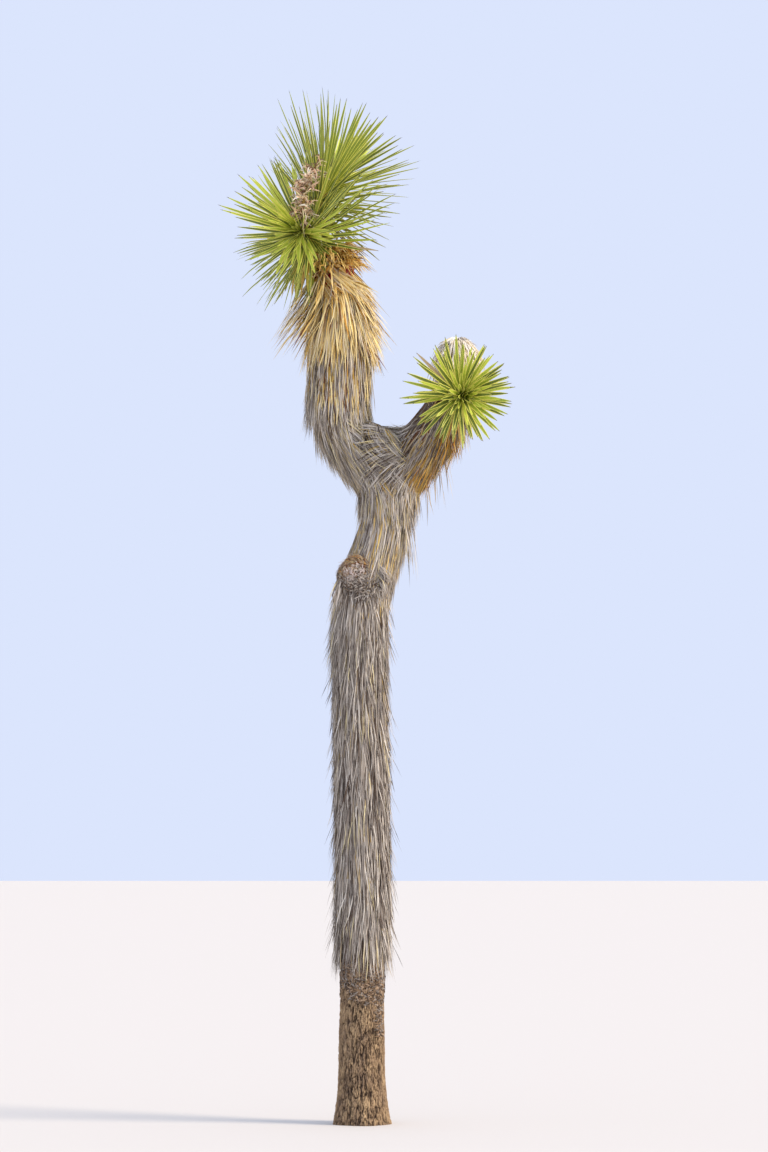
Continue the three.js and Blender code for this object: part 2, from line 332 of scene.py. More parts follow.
# leaf tints: a screen colour, the roughness and, where the leaf is live, the specular level
tintLooks = {
    "ashPale": ((222, 212, 198), 0.8),
    "ash": ((192, 181, 168), 0.8),
    "ashMid": ((158, 147, 136), 0.8),
    "ashDark": ((120, 109, 100), 0.8),
    "umber": ((88, 72, 60), 0.8),
    "straw": ((224, 208, 162), 0.8),
    "tan": ((184, 163, 126), 0.8),
    "gold": ((226, 190, 110), 0.7),
    "honey": ((252, 228, 162), 0.7),
    "amber": ((206, 150, 62), 0.75),
    "mustard": ((178, 142, 66), 0.75),
    "rust": ((122, 78, 50), 0.85),
    "wine": ((128, 30, 28), 0.7),
    "stub": ((138, 112, 86), 0.85),
    "stubPale": ((176, 150, 124), 0.85),
    "scarPale": ((228, 212, 204), 0.85),
    "husk": ((240, 204, 172), 0.8),
    "bone": ((246, 238, 222), 0.8),
    "cream": ((228, 212, 182), 0.8),
    "greenBright": ((196, 211, 72), 0.42, 0.5),
    "green": ((160, 177, 56), 0.42, 0.5),
    "greenDeep": ((108, 124, 46), 0.45, 0.5),
    # the keel tints of live leaves, darker as painted shade on their undersides
    "greenBelow": ((146, 160, 62), 0.5, 0.4),
    "greenShade": ((106, 120, 50), 0.5, 0.4),
    "margin": ((238, 232, 112), 0.5, 0.4),
    "leafBase": ((222, 224, 140), 0.5, 0.4),
    "spine": ((104, 84, 74), 0.5, 0.4),
    "olive": ((188, 176, 74), 0.55, 0.35),
}
tints = {name: leafFinish(name, *look) for name, look in tintLooks.items()}
tintNames = list(tints)
print("finishes made:", len(tints), "leaf tints")


# Meshes from arrays

def added(name, data):
    # a new object in the scene for a mesh, a lamp or a camera
    made = bpy.data.objects.new(name, data)
    bpy.context.scene.collection.objects.link(made)
    return made


def meshPiece(name, points, faces, materials, smooth=False, uv=None, marks=None):
    # faces is a list of pairs: an array of corners, one row a face, and the material number of each row
    corners = np.concatenate([rows.ravel() for rows, _ in faces]).astype(np.int32)
    sizes = np.concatenate([np.full(len(rows), rows.shape[1]) for rows, _ in faces]).astype(np.int32)
    numbers = np.concatenate([slots for _, slots in faces]).astype(np.int32)
    mesh = bpy.data.meshes.new(name)
    mesh.vertices.add(len(points))
    mesh.vertices.foreach_set("co", (points * mm).astype(np.float32).ravel())
    mesh.loops.add(len(corners))
    mesh.loops.foreach_set("vertex_index", corners)
    mesh.polygons.add(len(sizes))
    mesh.polygons.foreach_set("loop_start", (np.cumsum(sizes) - sizes).astype(np.int32))
    mesh.polygons.foreach_set("material_index", numbers)
    mesh.polygons.foreach_set("use_smooth", np.full(len(sizes), smooth))
    for material in materials:
        mesh.materials.append(material)
    if uv is not None:
        layer = mesh.uv_layers.new(name="grain")
        layer.data.foreach_set("uv", (uv[corners] * mm).astype(np.float32).ravel())
    for key, values in (marks or {}).items():
        mesh.attributes.new(key, "FLOAT", "POINT").data.foreach_set("value", values.astype(np.float32))
    mesh.update(calc_edges=True)
    mesh.validate()
    piece = added(name, mesh)
    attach(piece, "root")
    return piece


def bandFaces(rows, columns):
    # the faces between rings, joined row by row and round their seam
    row, col = np.divmod(np.arange((rows - 1) * columns), columns)
    following = (col + 1) % columns
    return np.stack([row * columns + col, row * columns + following,
                     (row + 1) * columns + following, (row + 1) * columns + col], axis=1)


def fanFaces(columns, first, pole):
    # the faces from a ring, its corners numbered from first, to a pole past it
    one = np.arange(columns)
    return np.stack([first + one, first + (one + 1) % columns, np.full(columns, pole)], axis=1)


def wrappedFaces(rows, columns):
    # bands of rings with a fan at each end, to the two points after the rings
    foot = fanFaces(columns, 0, rows * columns)[:, [1, 0, 2]]
    top = fanFaces(columns, (rows - 1) * columns, rows * columns + 1)
    return [(part, np.zeros(len(part))) for part in (bandFaces(rows, columns), foot, top)]


def tubePiece(name, limb, share, columns, reach, material):
    # Rings carried along a limb at these shares of its run: point = centre + outward * reach(share, turn,
    # place), closed round the seam and by a pole at each end. reach also gives the marks that the finish
    # reads.
    rows = len(share)
    turn = np.linspace(0, 2 * math.pi, columns, endpoint=False)
    ring = limb.at(np.repeat(share, columns))
    outward = outwardAt(ring, np.tile(turn, rows))
    plain = ring["centre"] + outward * column(ring["radius"])
    radius, marks = reach(np.repeat(share, columns), np.tile(turn, rows), plain, ring["radius"])
    points = ring["centre"] + outward * column(radius)
    poles = limb.at(share[[0, -1]])["centre"]
    points = np.vstack([points, poles])
    marks = {key: np.append(values, [values[0], values[-1]]) for key, values in marks.items()}
    return meshPiece(name, points, wrappedFaces(rows, columns), [material], smooth=True, marks=marks)


# Blades: rings along the leaf, the width and thickness there beside the greatest, and the section's
# corners as shares of half the width and half the thickness, going round clockwise seen from the tip
deadBlade = {
    "rings": [0, 0.3, 0.7],
    "widths": [1, 1, 0.68],
    "heights": [1, 1, 0.7],
    "section": [(-1, -0.3), (0.1, 0.7), (1, -0.3)],
}
greenBlade = {
    "rings": [0, 0.07, 0.3, 0.6, 0.84, 0.965],
    "widths": [1.3, 1, 1, 0.9, 0.6, 0.2],
    "heights": [1, 1, 1, 0.9, 0.65, 0.3],
    "section": [(-1, 0.1), (-0.64, 0.3), (0, 0.06), (0.64, 0.3), (1, 0.1), (0.7, -0.22), (0, -0.9),
                (-0.7, -0.22)],
}
curlBlade = {
    "rings": [0, 0.2, 0.42, 0.64, 0.86],
    "widths": [0.7, 1, 1, 0.85, 0.5],
    "heights": [1, 1, 1, 0.9, 0.6],
    "section": [(-1, 0.5), (0, -0.1), (1, 0.5), (0, -0.8)],
}
twigBlade = {
    "rings": [0, 0.2, 0.4, 0.6, 0.8, 0.97],
    "widths": [1, 0.9, 0.8, 0.7, 0.6, 0.45],
    "heights": [1, 0.9, 0.8, 0.7, 0.6, 0.45],
    "section": [(-1, 0), (-0.5, 0.87), (0.5, 0.87), (1, 0), (0.5, -0.87), (-0.5, -0.87)],
}
swayTurn = 6.0  # how far the sine of a leaf's sway turns from foot to tip, in radians
grainStep, grainWrap = 37.0, 5000  # how far the grain moves on from leaf to leaf, and starts again


def growLeaves(name, leaves, blade, paint):
    # Each leaf's middle line is root + length (start t + (end - start) t^2 / 2), swayed sideways by a
    # sine, and each ring is the section in the leaf's own frame, which twists evenly. paint gives the
    # names of the tints by tint number, ring and side. The grain's u runs round the leaf and v along it,
    # from another place in every leaf.
    t = np.array(blade["rings"], float)
    section = np.array(blade["section"], float)
    count, rings, sides = len(leaves["length"]), len(t), len(section)
    t3 = np.append(t, 1.0)[None, :, None]
    root, start, end, up = (leaves[key][:, None, :] for key in ("root", "start", "end", "up"))
    length = leaves["length"][:, None, None]
    tangent = unit(start + (end - start) * t3)
    across = unit(np.cross(tangent, up))
    above = np.cross(across, tangent)
    centre = root + length * (start * t3 + (end - start) * t3**2 / 2)
    centre = centre + across * leaves["sway"][:, None, None] * np.sin(t3 * swayTurn + length) * t3
    turn = leaves["twist"][:, None, None] * (t3 - 0.3)
    across, above = (across * np.cos(turn) + above * np.sin(turn),
                     above * np.cos(turn) - across * np.sin(turn))
    halfWidth = leaves["width"][:, None] / 2 * np.array(blade["widths"])
    halfThick = leaves["thick"][:, None] / 2 * np.array(blade["heights"])
    x = halfWidth[:, :, None, None] * section[:, 0][:, None]
    y = halfThick[:, :, None, None] * section[:, 1][:, None]
    body = centre[:, :rings, None] + across[:, :rings, None] * x + above[:, :rings, None] * y
    points = np.concatenate([body.reshape(count, rings * sides, 3), centre[:, rings:]], axis=1)
    size = rings * sides + 1
    around = np.cumsum(np.abs(np.diff(section[:, 0], prepend=section[-1, 0])))
    u = leaves["width"][:, None, None] / 2 * around * np.ones((1, rings, 1))
    v = length * t[:, None] + grainStep * np.arange(count)[:, None, None] % grainWrap
    uv = np.stack([u, v * np.ones((1, 1, sides))], axis=-1).reshape(count, rings * sides, 2)
    tipUv = np.stack([u[:, 0, 0], v[:, 0, 0] + leaves["length"]], axis=-1)[:, None]
    uv = np.concatenate([uv, tipUv], axis=1).reshape(-1, 2)

    cap = np.arange(sides)[None, ::-1]
    tips = fanFaces(sides, (rings - 1) * sides, size - 1)
    offset = (np.arange(count) * size)[:, None, None]
    used = sorted({tint for rows in paint for row in rows for tint in row}, key=tintNames.index)
    table = np.array([[[used.index(tint) for tint in row] for row in rows] for rows in paint])
    numbers = table[leaves["tint"]]
    faces = [
        ((bandFaces(rings, sides) + offset).reshape(-1, 4), numbers[:, :-1].ravel()),
        ((tips + offset).reshape(-1, 3), numbers[:, -1].ravel()),
        ((cap + offset).reshape(-1, sides), numbers[:, 0, 0]),
    ]
    return meshPiece(name, points.reshape(-1, 3), faces, [tints[tint] for tint in used], uv=uv)


def sorts(text):
    # a palette's rows, each a sort of leaf: its tint, the tint of its foot and its share
    return [(*row.split()[0].split("/"), int(row.split()[1])) for row in text.split(", ")]


def plainPaint(blade, palette):
    # every tint over its whole blade, with another tint on the ring next to its root
    rings, sides = len(blade["rings"]), len(blade["section"])
    return [[[foot] * sides] + [[tint] * sides] * (rings - 1) for tint, foot, _ in palette]


def dealt(i, seed, palette, bias=0):
    # rows of a palette dealt out by their shares; bias from -1 to 1 leans towards the first or the last
    edges = np.cumsum([row[2] for row in palette])
    return np.searchsorted(edges / edges[-1], np.clip(chance(i, seed) + bias, 0, 0.9999)).astype(int)


# Bark

barkPlan = {
    "columns": 300, "rowStep": 3, "coveredRows": 50, "girth": 88, "plateWide": 7.6, "plateTall": 42,
    "depth": 7, "rough": 5, "swell": 9, "fade": (560, 700), "buttress": 5, "buttressTall": 60,
}


def shareAtHeight(limb, height):
    grid = np.linspace(0, 1, 600)
    return np.interp(height, limb.at(grid)["centre"][:, 2], grid)


def plateRelief(turn, height, plan):
    # Furrows run where a tall rough noise passes its middle value, so that they wind, fork and meet, and
    # a squarer set of finer ones breaks the ridges between them across
    ring = np.stack([np.cos(turn), np.sin(turn)], axis=-1) * plan["girth"]

    def furrow(wide, tall, seed, narrow, full):
        place = np.concatenate([ring / wide, column(height / tall)], axis=-1)
        bend = np.stack([roughNoise(place * 1.3 + k * 17, seed + k, 2) for k in range(3)], axis=-1) - 0.5
        return smoothStep(narrow, full, np.abs(roughNoise(place + bend * 0.9, seed + 9, 2) - 0.5))

    long = furrow(plan["plateWide"], plan["plateTall"], 3, 0.0, 0.1)
    fine = furrow(plan["plateWide"] * 0.62, plan["plateTall"] * 0.5, 23, 0.0, 0.07)
    short = furrow(plan["plateWide"] * 1.1, plan["plateTall"] * 0.2, 43, 0.0, 0.05)
    return long * (0.45 + 0.55 * fine) * (0.6 + 0.4 * short)


def trunkReach(share, turn, plain, wood):
    height = plain[:, 2]
    relief = plateRelief(turn, height, barkPlan)
    rough = roughNoise(plain / [6, 6, 12], 11)
    swell = roughNoise(plain / [60, 60, 150], 5, 2) - 0.5
    bare = 1 - 0.75 * smoothStep(*barkPlan["fade"], height)
    buttress = np.cos(turn * 5 + 0.6) * barkPlan["buttress"] * np.exp(-height / barkPlan["buttressTall"])
    shape = (relief - 0.7) * barkPlan["depth"] + (rough - 0.5) * barkPlan["rough"]
    shape = shape + swell * barkPlan["swell"] + buttress
    marks = {
        "relief": np.clip(relief * 0.9 + (rough - 0.5) * 0.9, 0, 1),
        "plate": roughNoise(plain / [14, 14, 44], 17, 2),
    }
    return wood + shape * bare, marks


bark = barkFinish()
bareTo = barkPlan["fade"][1]
barkHeights = np.append(np.arange(0, bareTo, barkPlan["rowStep"]),
                        np.linspace(bareTo, trunkStations[-1][2], barkPlan["coveredRows"]))
trunkBark = tubePiece("trunk_bark", limbs["trunk"], shareAtHeight(limbs["trunk"], barkHeights),
                      barkPlan["columns"], trunkReach, bark)
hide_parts("trunk")


def boughReach(share, turn, plain, wood):
    fibre = roughNoise(plain / [7, 7, 40], 31)
    relief = smoothStep(0.25, 0.7, fibre)
    return wood - 2 + relief * 3, {"relief": relief}


boughWood = matFinish("boughWood", (58, 40, 32), (118, 92, 70))
leftBark = tubePiece("left_bough_bark", limbs["leftBough"], np.linspace(0, 1, 120), 40, boughReach,
                     boughWood)
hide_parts("left_bough_lower", "left_bough_upper")
rightBark = tubePiece("right_bough_bark", limbs["rightBough"], np.linspace(0, 1, 70), 40, boughReach,
                      boughWood)
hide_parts("right_bough")
print("bark made")


# The rounded scar of a lost branch and the flower stalk, which the leaves keep clear of

scarPlan = {"centre": (-22, -68, 2190), "radii": (76, 38, 67), "curls": 3200, "fan": 360, "seed": 15}
stalkPlan = {
    "stations": [(-186, 20, 3560, 12), (-236, -110, 3606, 11), (-222, -138, 3720, 8), (-168, -128, 3846, 4)],
    "twigs": 44, "seed": 14, "length": 66, "spread": 50, "bracts": 250, "clear": 32, "leftBelow": 3735,
    "bractTwigs": 32,
}


def leafPoints(leaves, t):
    # points on the middle lines of the leaves, one row a leaf, at the same shares of each or at its own
    t = np.atleast_2d(t)[..., None]
    start, end = leaves["start"][:, None], leaves["end"][:, None]
    return leaves["root"][:, None] + leaves["length"][:, None, None] * (start * t + (end - start) * t**2 / 2)


def kept(leaves, mask):
    return {key: values[mask] for key, values in leaves.items()}


def offScar(leaves, plan=scarPlan):
    # leaves that would run over the scar end at its rim instead, and those rooted in it are left out
    t = np.linspace(0.05, 1, 20)
    away = (leafPoints(leaves, t) - plan["centre"]) / (np.array(plan["radii"]) + [0, 30, 0])
    ragged = 0.86 + jitter(np.arange(len(away)), plan["seed"] + 50, 0.14)
    inside = np.linalg.norm(away, axis=-1) < column(ragged)
    reached = np.where(inside.any(axis=1), t[inside.argmax(axis=1)], 1.0)
    return kept({**leaves, "length": leaves["length"] * reached}, reached > 0.15)


def offStalk(leaves, plan=stalkPlan):
    # leaves that pass the flower stalk this clear of it, and five times as far in front of it
    line = Limb(plan["stations"]).at(np.linspace(0.25, 1, 14))["centre"]
    away = leafPoints(leaves, np.linspace(0.12, 1, 12))[:, :, None] - line
    away = away * np.where(away[..., 1:2] < 0, [1, 0.2, 1], 1)
    return kept(leaves, np.linalg.norm(away, axis=-1).min(axis=(1, 2)) > plan["clear"])


# Coats of hanging dead leaves

def leafShapes(i, seed, width, thick=None, uneven=0.25, twist=1.5, sway=7):
    # each leaf's own width, thickness, twist and sideways sway
    return {
        "width": width * (1 + jitter(i, seed, uneven)),
        "thick": np.full(len(i), thick or width * 0.4),
        "twist": jitter(i, seed + 1, twist),
        "sway": jitter(i, seed + 2, sway),
    }


greyCoat = sorts("umber/umber 9, ashDark/umber 17, ashMid/ashDark 21, ashMid/mustard 2, ash/tan 6, "
                 "ash/ashMid 18, ashPale/ash 14, ashPale/tan 3, straw/tan 6, tan/mustard 4")
sunCoat = sorts("umber/umber 7, ashDark/umber 12, ashMid/ashDark 20, ash/tan 8, ash/ashMid 8, "
                "ashPale/ashMid 16, ashPale/ash 12, straw/tan 8, tan/mustard 4, honey/gold 3, "
                "gold/mustard 2")
duskCoat = sorts("umber/umber 12, ashDark/umber 16, ashMid/ashDark 20, ash/ashDark 16, tan/rust 8, "
                 "rust/rust 8, mustard/rust 11, gold/mustard 9")
amberCoat = sorts("umber/rust 4, rust/rust 5, ashMid/umber 5, tan/rust 7, mustard/rust 12, "
                  "amber/mustard 16, gold/amber 7")
goldCoat = sorts("rust/rust 2, umber/rust 9, ashMid/umber 3, tan/rust 5, mustard/rust 7, amber/rust 2, "
                 "gold/tan 12, straw/mustard 14, honey/gold 42, cream/straw 11")
ruffCoat = sorts("rust/rust 5, umber/rust 2, mustard/rust 9, amber/rust 10, gold/amber 24, honey/gold 14")
boneCoat = sorts("tan/tan 8, cream/cream 34, bone/bone 50, ash/ash 8")

deadWidth = 4.8  # width of a dead leaf
coatHabit = {  # what a coat does unless it says otherwise
    "coat": (0, 0),  # thickness over the wood, evenly spaced along the span of stations
    "width": deadWidth,
    "palette": greyCoat,
    "bias": 0,  # towards the first tints of the palette or the last
    "paintedLight": ((0, 0, 1), 0),  # a direction, and how far the leaves on that side lean to the last tints, as painted light: lighter there, darker on the far side
    "aside": 0.9,  # random turn of the roots, in radians
    "uneven": 0.24,  # random share of the length
    "ahead": 0.8,  # share of a leaf's length at which it follows the limb's bend
    "sunk": (3, 12),  # depth of the roots under the surface: the least, and a random part
    "lockSize": (24, 24, 64),
    "locks": 0.55,  # sideways sweep of the locks
    "wander": 0.16,  # sideways sweep of single leaves
    "limp": 3,  # at a lower power more leaves stand off at their tips
    "fringe": 0,  # how far the leaves of the lower edge stand off besides
    "cross": 0,  # how far leaves lean over the fork's middle, more and more between two heights
    "crossFrom": (2570, 2740),
    "rounded": 1.0,  # share of the run at which the top begins to close
    "inset": 14,  # depth of the mat under the surface
}

# Each coat covers a span of its limb's stations, or a limb of its own. Its leaves start at leavesFrom of
# that run, stand off by lift at the root and by free at the tip, and are pulled down by weight.
coats = {
    "trunk_thatch": {
        "on": "trunk", "span": (4.1, 8), "coat": (15, 26, 27, 28, 30), "count": 9600, "seed": 1,
        "length": 200, "leavesFrom": 0.1, "lift": 0.1, "free": 0.26, "weight": 0.4, "fringe": 0.05,
        "locks": 0.34, "bias": -0.04,
    },
    "upper_trunk_thatch": {
        "on": "trunk", "span": (8, 10.25), "coat": (30, 30), "count": 3600, "seed": 2, "length": 190,
        "leavesFrom": 0.06, "lift": 0.08, "free": 0.2, "weight": 0.2, "locks": 0.3, "palette": sunCoat,
        "bias": 0.1,
    },
    "fork_thatch": {
        "stations": [(104, 4, 2482, 98), (108, 2, 2560, 118), (106, 0, 2640, 128), (104, 0, 2712, 122),
                     (126, 0, 2750, 126)],
        "count": 3500, "seed": 3, "length": 150, "leavesFrom": 0.05, "lift": 0.1, "free": 0.2,
        "weight": 0.3, "cross": 1.7, "rounded": 0.62, "palette": sunCoat,
    },
    "left_lower_thatch": {
        "on": "leftBough", "span": (0.4, 5), "coat": (28, 38, 54), "count": 3900, "seed": 4, "length": 165,
        "leavesFrom": 0.06, "lift": 0.1, "free": 0.2, "weight": 0.08, "bias": 0.18,
    },
    "left_upper_thatch": {
        "on": "leftBough", "span": (5, 7.5), "coat": (64, 66, 62), "count": 3600, "seed": 5, "length": 172,
        "leavesFrom": 0.2, "lift": 0.13, "free": 0.24, "weight": 0.3, "palette": sunCoat, "bias": -0.06,
    },
    "golden_skirt": {
        "on": "leftBough", "span": (7.5, 10.8), "coat": (58, 64, 46, 20, 6), "count": 2700, "seed": 6,
        "length": 235, "width": 8.2, "leavesFrom": 0.22, "lift": 0.24, "free": 0.42, "weight": 1.0,
        "limp": 1.5, "wander": 0.18, "locks": 0.3, "palette": goldCoat, "bias": 0.12, "inset": 24,
    },
    "right_bough_thatch": {
        "on": "rightBough", "span": (0.3, 3.1), "coat": (44, 44, 40), "count": 3300, "seed": 7,
        "length": 165, "leavesFrom": 0.04, "lift": 0.1, "free": 0.2, "weight": 0.1, "palette": duskCoat,
        # painted light: a painted highlight on the bough's lower right in its lighter tints, painted shade
        # on its inner side
        "paintedLight": ((0.75, 0.0, -0.66), 0.24), "bias": -0.02,
    },
    "bleached_head": {
        "stations": [(334, -58, 2834, 74), (370, -74, 2930, 68), (380, -80, 3030, 61), (382, -82, 3122, 60)],
        "count": 1200, "seed": 8, "length": 130, "width": 8, "leavesFrom": 0.25, "lift": 0.2, "free": 0.3,
        "weight": 0.6, "palette": boneCoat, "rounded": 0.62,
    },
}

coats = {name: {**coatHabit, **plan} for name, plan in coats.items()}


def limbOf(plan):
    return Limb(plan["stations"]) if "stations" in plan else limbs[plan["on"]]


def coatSpan(plan):
    # the coat's limb and the shares of its run that the coat covers
    limb = limbOf(plan)
    if "span" not in plan:
        return limb, 0.0, 1.0
    return limb, limb.past(plan["span"][0], 0.5), limb.past(plan["span"][1], -0.5)


def roundOff(plan, run):
    # how far a rounded coat has closed towards its top, from 0 to 1
    past = plan["rounded"]
    return np.clip((run - past) / (1 - past), 0, 1) if past < 1 else run * 0


def coatSurface(plan, wood, run):
    # the wood's radius and the coat over it, closed over a rounded top as an ellipse is
    return (wood + alongList(plan["coat"], run)) * np.sqrt(1 - roundOff(plan, run) ** 2)


def settled(direction, outward, weight):
    # a direction pulled down by the leaf's weight, with whatever would press it into the coat taken out
    along = direction + down * weight
    return unit(along - outward * np.minimum(0, dot(along, outward)))


def towards(aim, root, outward):
    # the direction over the surface to a point
    toAim = np.array(aim, float) - root
    return unit(toAim - outward * dot(toAim, outward))


def hangingLeaves(plan):
    # The source's rule for dead leaves, carried finer: golden-angle turns up the limb, each leaf back
    # along the limb and down, flared off it. Here the leaf also follows the limb's bend, rises from
    # inside the coat, and sweeps sideways with its neighbours, so that locks and gaps form.
    limb, low, high = coatSpan(plan)
    i = np.arange(plan["count"])
    seed = plan["seed"]
    run = lerp(plan["leavesFrom"], 1, (i + 0.5) / plan["count"])
    share = lerp(low, high, run)
    ring = limb.at(share)
    outward = outwardAt(ring, i * goldenAngle + jitter(i, seed, plan["aside"]))
    length = plan["length"] * (1 + jitter(i, seed + 2, plan["uneven"]))
    below = limb.at(share - length * plan["ahead"] / limb.length)
    rise = coatSurface(plan, ring["radius"], run) - plan["sunk"][0] - plan["sunk"][1] * chance(i, seed + 30)
    root = ring["centre"] + outward * column(rise)
    lock = softNoise(root / plan["lockSize"], seed) - 0.5
    around = np.cross(ring["tangent"], outward)
    sweep = column(lock * plan["locks"] + jitter(i, seed + 31, plan["wander"]))
    over = column(roundOff(plan, run))
    along = unit(settled(-ring["tangent"], outward, plan["weight"]) * (1 - over) + outward * over)
    ending = settled(-below["tangent"], outward, plan["weight"] * 1.4)
    rightwards = np.sign(around[:, 0]) * -np.sign(outward[:, 0] + jitter(i, seed + 37, 0.8))
    crossing = plan["cross"] * rightwards * smoothStep(*plan["crossFrom"], root[:, 2])
    along = along + around * column(crossing)
    ending = ending + around * column(crossing) - outward * column(np.abs(crossing)) * 0.7
    free = chance(i, seed + 32) ** plan["limp"]
    fringe = plan["fringe"] * (1 - smoothStep(0, 0.16, run - plan["leavesFrom"]))
    lift = plan["lift"] * (1 + jitter(i, seed + 1, 0.5))
    loose = plan["free"] * free - 0.03 + fringe * free**0.4 + lock * 0.06
    # painted light: leaves facing the given direction lean to the lighter tints, those facing away to the
    # darker ones
    paintedLitSide, strength = plan["paintedLight"]
    bias = plan["bias"] + lock * 0.3 + strength * dot(outward, np.array(paintedLitSide))[:, 0]
    return {
        "root": root,
        "start": unit(along + outward * column(lift) + around * sweep * 0.4),
        "end": unit(ending + outward * column(loose) + around * sweep),
        "up": outward,
        "length": length,
        "tint": dealt(i, seed + 36, plan["palette"], bias),
        **leafShapes(i, seed + 33, plan["width"], twist=1.4),
    }


def coatMat(name, plan, material):
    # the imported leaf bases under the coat's leaves, a lumpy fibrous tube
    limb, low, high = coatSpan(plan)

    def reach(share, turn, plain, wood):
        run = (share - low) / (high - low)
        lumps = roughNoise(plain / [16, 16, 42], plan["seed"] + 60)
        inset = plan["inset"] * np.sqrt(1 - roundOff(plan, run) ** 2)
        surface = coatSurface(plan, wood, run) - inset + (lumps - 0.5) * 12
        return surface, {"relief": smoothStep(0.3, 0.7, lumps)}

    rows = max(16, int((high - low) * limb.length / 11))
    run = np.linspace(0, 1, rows)
    if plan["rounded"] < 1:
        run = np.sin(np.linspace(0, 0.5 * math.pi, rows))  # closer rings where the top closes
    return tubePiece(name, limb, lerp(low, high, run), 64, reach, material)


# the grey mat's dark colours are painted shade for the gaps between hanging leaves; the gold mat's maroon is
# the leaf bases' own colour, darkened as painted shade
coatShadeMat = matFinish("coatShadeMat", (44, 34, 29), (104, 86, 72))
goldMat = matFinish("goldMat", (78, 22, 16), (140, 84, 44))
boneMat = matFinish("boneMat", (120, 98, 70), (214, 196, 162))
mats = {"golden_skirt": goldMat, "bleached_head": boneMat}
for node, plan in coats.items():
    paint = plainPaint(deadBlade, plan["palette"])
    leaves = growLeaves(node + "_leaves", offScar(hangingLeaves(plan)), deadBlade, paint)
    mat = coatMat(node + "_mat", plan, mats.get(node, coatShadeMat))
    for piece in (leaves, mat):
        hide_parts(node)
print("coats of dead leaves made")


# Rosettes of live leaves

rosettes = {
    "right_rosette": {
        "stations": [(364, -92, 2898, 34), (380, -172, 2884, 32), (400, -252, 2872, 18)], "count": 132,
        "seed": 11, "length": 212, "width": 17, "under": 0.08, "spreadYoung": 8, "spreadOld": 102,
        "rooted": 0.62, "droop": 0.03,
    },
    "lower_rosette": {
        "stations": [(-160, 44, 3496, 36), (-214, -24, 3540, 36), (-250, -108, 3552, 20)], "count": 180,
        "seed": 12, "length": 352, "width": 14, "under": 0.24, "spreadYoung": 8, "spreadOld": 106,
        "rooted": 0.8, "droop": 0, "neck": 0.5,
    },
    "upper_rosette": {
        "stations": [(-174, 62, 3516, 36), (-182, 66, 3630, 36), (-166, 78, 3728, 34),
                     (-110, 102, 3810, 20)],
        "count": 206, "seed": 13, "length": 405, "width": 15, "spreadYoung": 6, "spreadOld": 102,
        "rooted": 0.75, "droop": 0, "poise": 0.75, "leftMost": -0.42, "behind": 0.1, "under": 0.3,
    },
}

rosetteHabit = {"poise": 0, "under": 0, "behind": 0, "neck": 1, "leftMost": -1}
rosettes = {name: {**rosetteHabit, **plan} for name, plan in rosettes.items()}
youngLeafShare = 0.5  # length of the youngest leaf of a rosette beside the old ones
# for live leaves the second tint is the keel's, where it differs darker as painted shade
greenSorts = sorts("greenBright/greenBelow 4, green/greenBelow 4, greenDeep/greenShade 4, olive/olive 3, "
                   "tan/tan 2, gold/mustard 3")


def rosetteLeaves(plan):
    # The source's rule for live leaves with more of them: from the upright young ones at the stem's tip
    # to the spread old ones below, by golden-angle turns, each bowed out a little. poise holds the old
    # ones to the tip's direction, under shortens those that point down, behind those at the back and neck
    # those that would hang over the skirt, and a leaf that would point past leftMost is skipped.
    limb = Limb(plan["stations"])
    i = np.arange(plan["count"])
    seed = plan["seed"]
    age = (i + 0.5) / plan["count"]
    ring = limb.at(1 - age * plan["rooted"])
    outward = outwardAt(ring, i * goldenAngle + jitter(i, seed, 0.12))
    axis = unit(lerp(ring["tangent"], limb.at(np.array([1.0]))["tangent"], plan["poise"]))
    ray = unit(outward - axis * dot(outward, axis))
    spread = lerp(plan["spreadYoung"], plan["spreadOld"], age**0.85) + jitter(i, seed + 1, 6)
    bow = 3 + jitter(i, seed + 4, 4)
    length = plan["length"] * np.minimum(1, youngLeafShare + 1.6 * age) * (1 + jitter(i, seed + 2, 0.1))
    sag = down * column(plan["droop"] * age * 2 + np.maximum(0, jitter(i, seed + 5, 0.05)))
    pointing = leaning(axis, ray, spread)
    overNeck = (pointing[:, 0] > 0.02) & (pointing[:, 2] < -0.28)
    length = length * np.where(overNeck, plan["neck"], 1)
    # older leaves lean to the deeper greens; leaves that point down lean to them too, as painted shade
    live = dealt(i, seed + 6, greenSorts[:3], (age - 0.4) * 0.6 + smoothStep(0, -0.7, pointing[:, 2]) * 0.35)
    fading = (age > 0.93) & (chance(i, seed + 7) < 0.4)
    leaves = {
        "root": ring["centre"] + outward * column(ring["radius"] * np.minimum(0.4, age * 2)),
        "start": leaning(axis, ray, spread - bow),
        "end": unit(leaning(axis, ray, spread + bow) + sag),
        "up": axis,
        "length": length * (1 - plan["under"] * smoothStep(0.5, -0.3, pointing[:, 2])
                            - plan["behind"] * np.maximum(0, pointing[:, 1])),
        "tint": np.where(fading, 3 + (chance(i, seed + 10) > 0.7), live),
        **leafShapes(i, seed + 8, plan["width"], 5.5, uneven=0.15, twist=0.5, sway=0),
    }
    return kept(leaves, pointing[:, 0] > plan["leftMost"])


def greenPaint():
    # bright side above, a darker keel below painted as its shade, yellow margins, a pale foot and a brown
    # spine at the tip
    paint = []
    for above, below, _ in greenSorts:
        edge = "margin" if below.startswith("green") else above
        body = [edge, above, above, edge, edge, below, below, edge]
        foot = ["leafBase"] * 8 if edge == "margin" else body
        paint.append([foot] + [body] * 4 + [["spine"] * 8])
    return paint


def stemReach(share, turn, plain, wood):
    fibre = roughNoise(plain / [9, 9, 9], 71)
    return wood * (1 - smoothStep(0.86, 1.0, share) * 0.4) + (fibre - 0.7) * 6, {"relief": fibre}


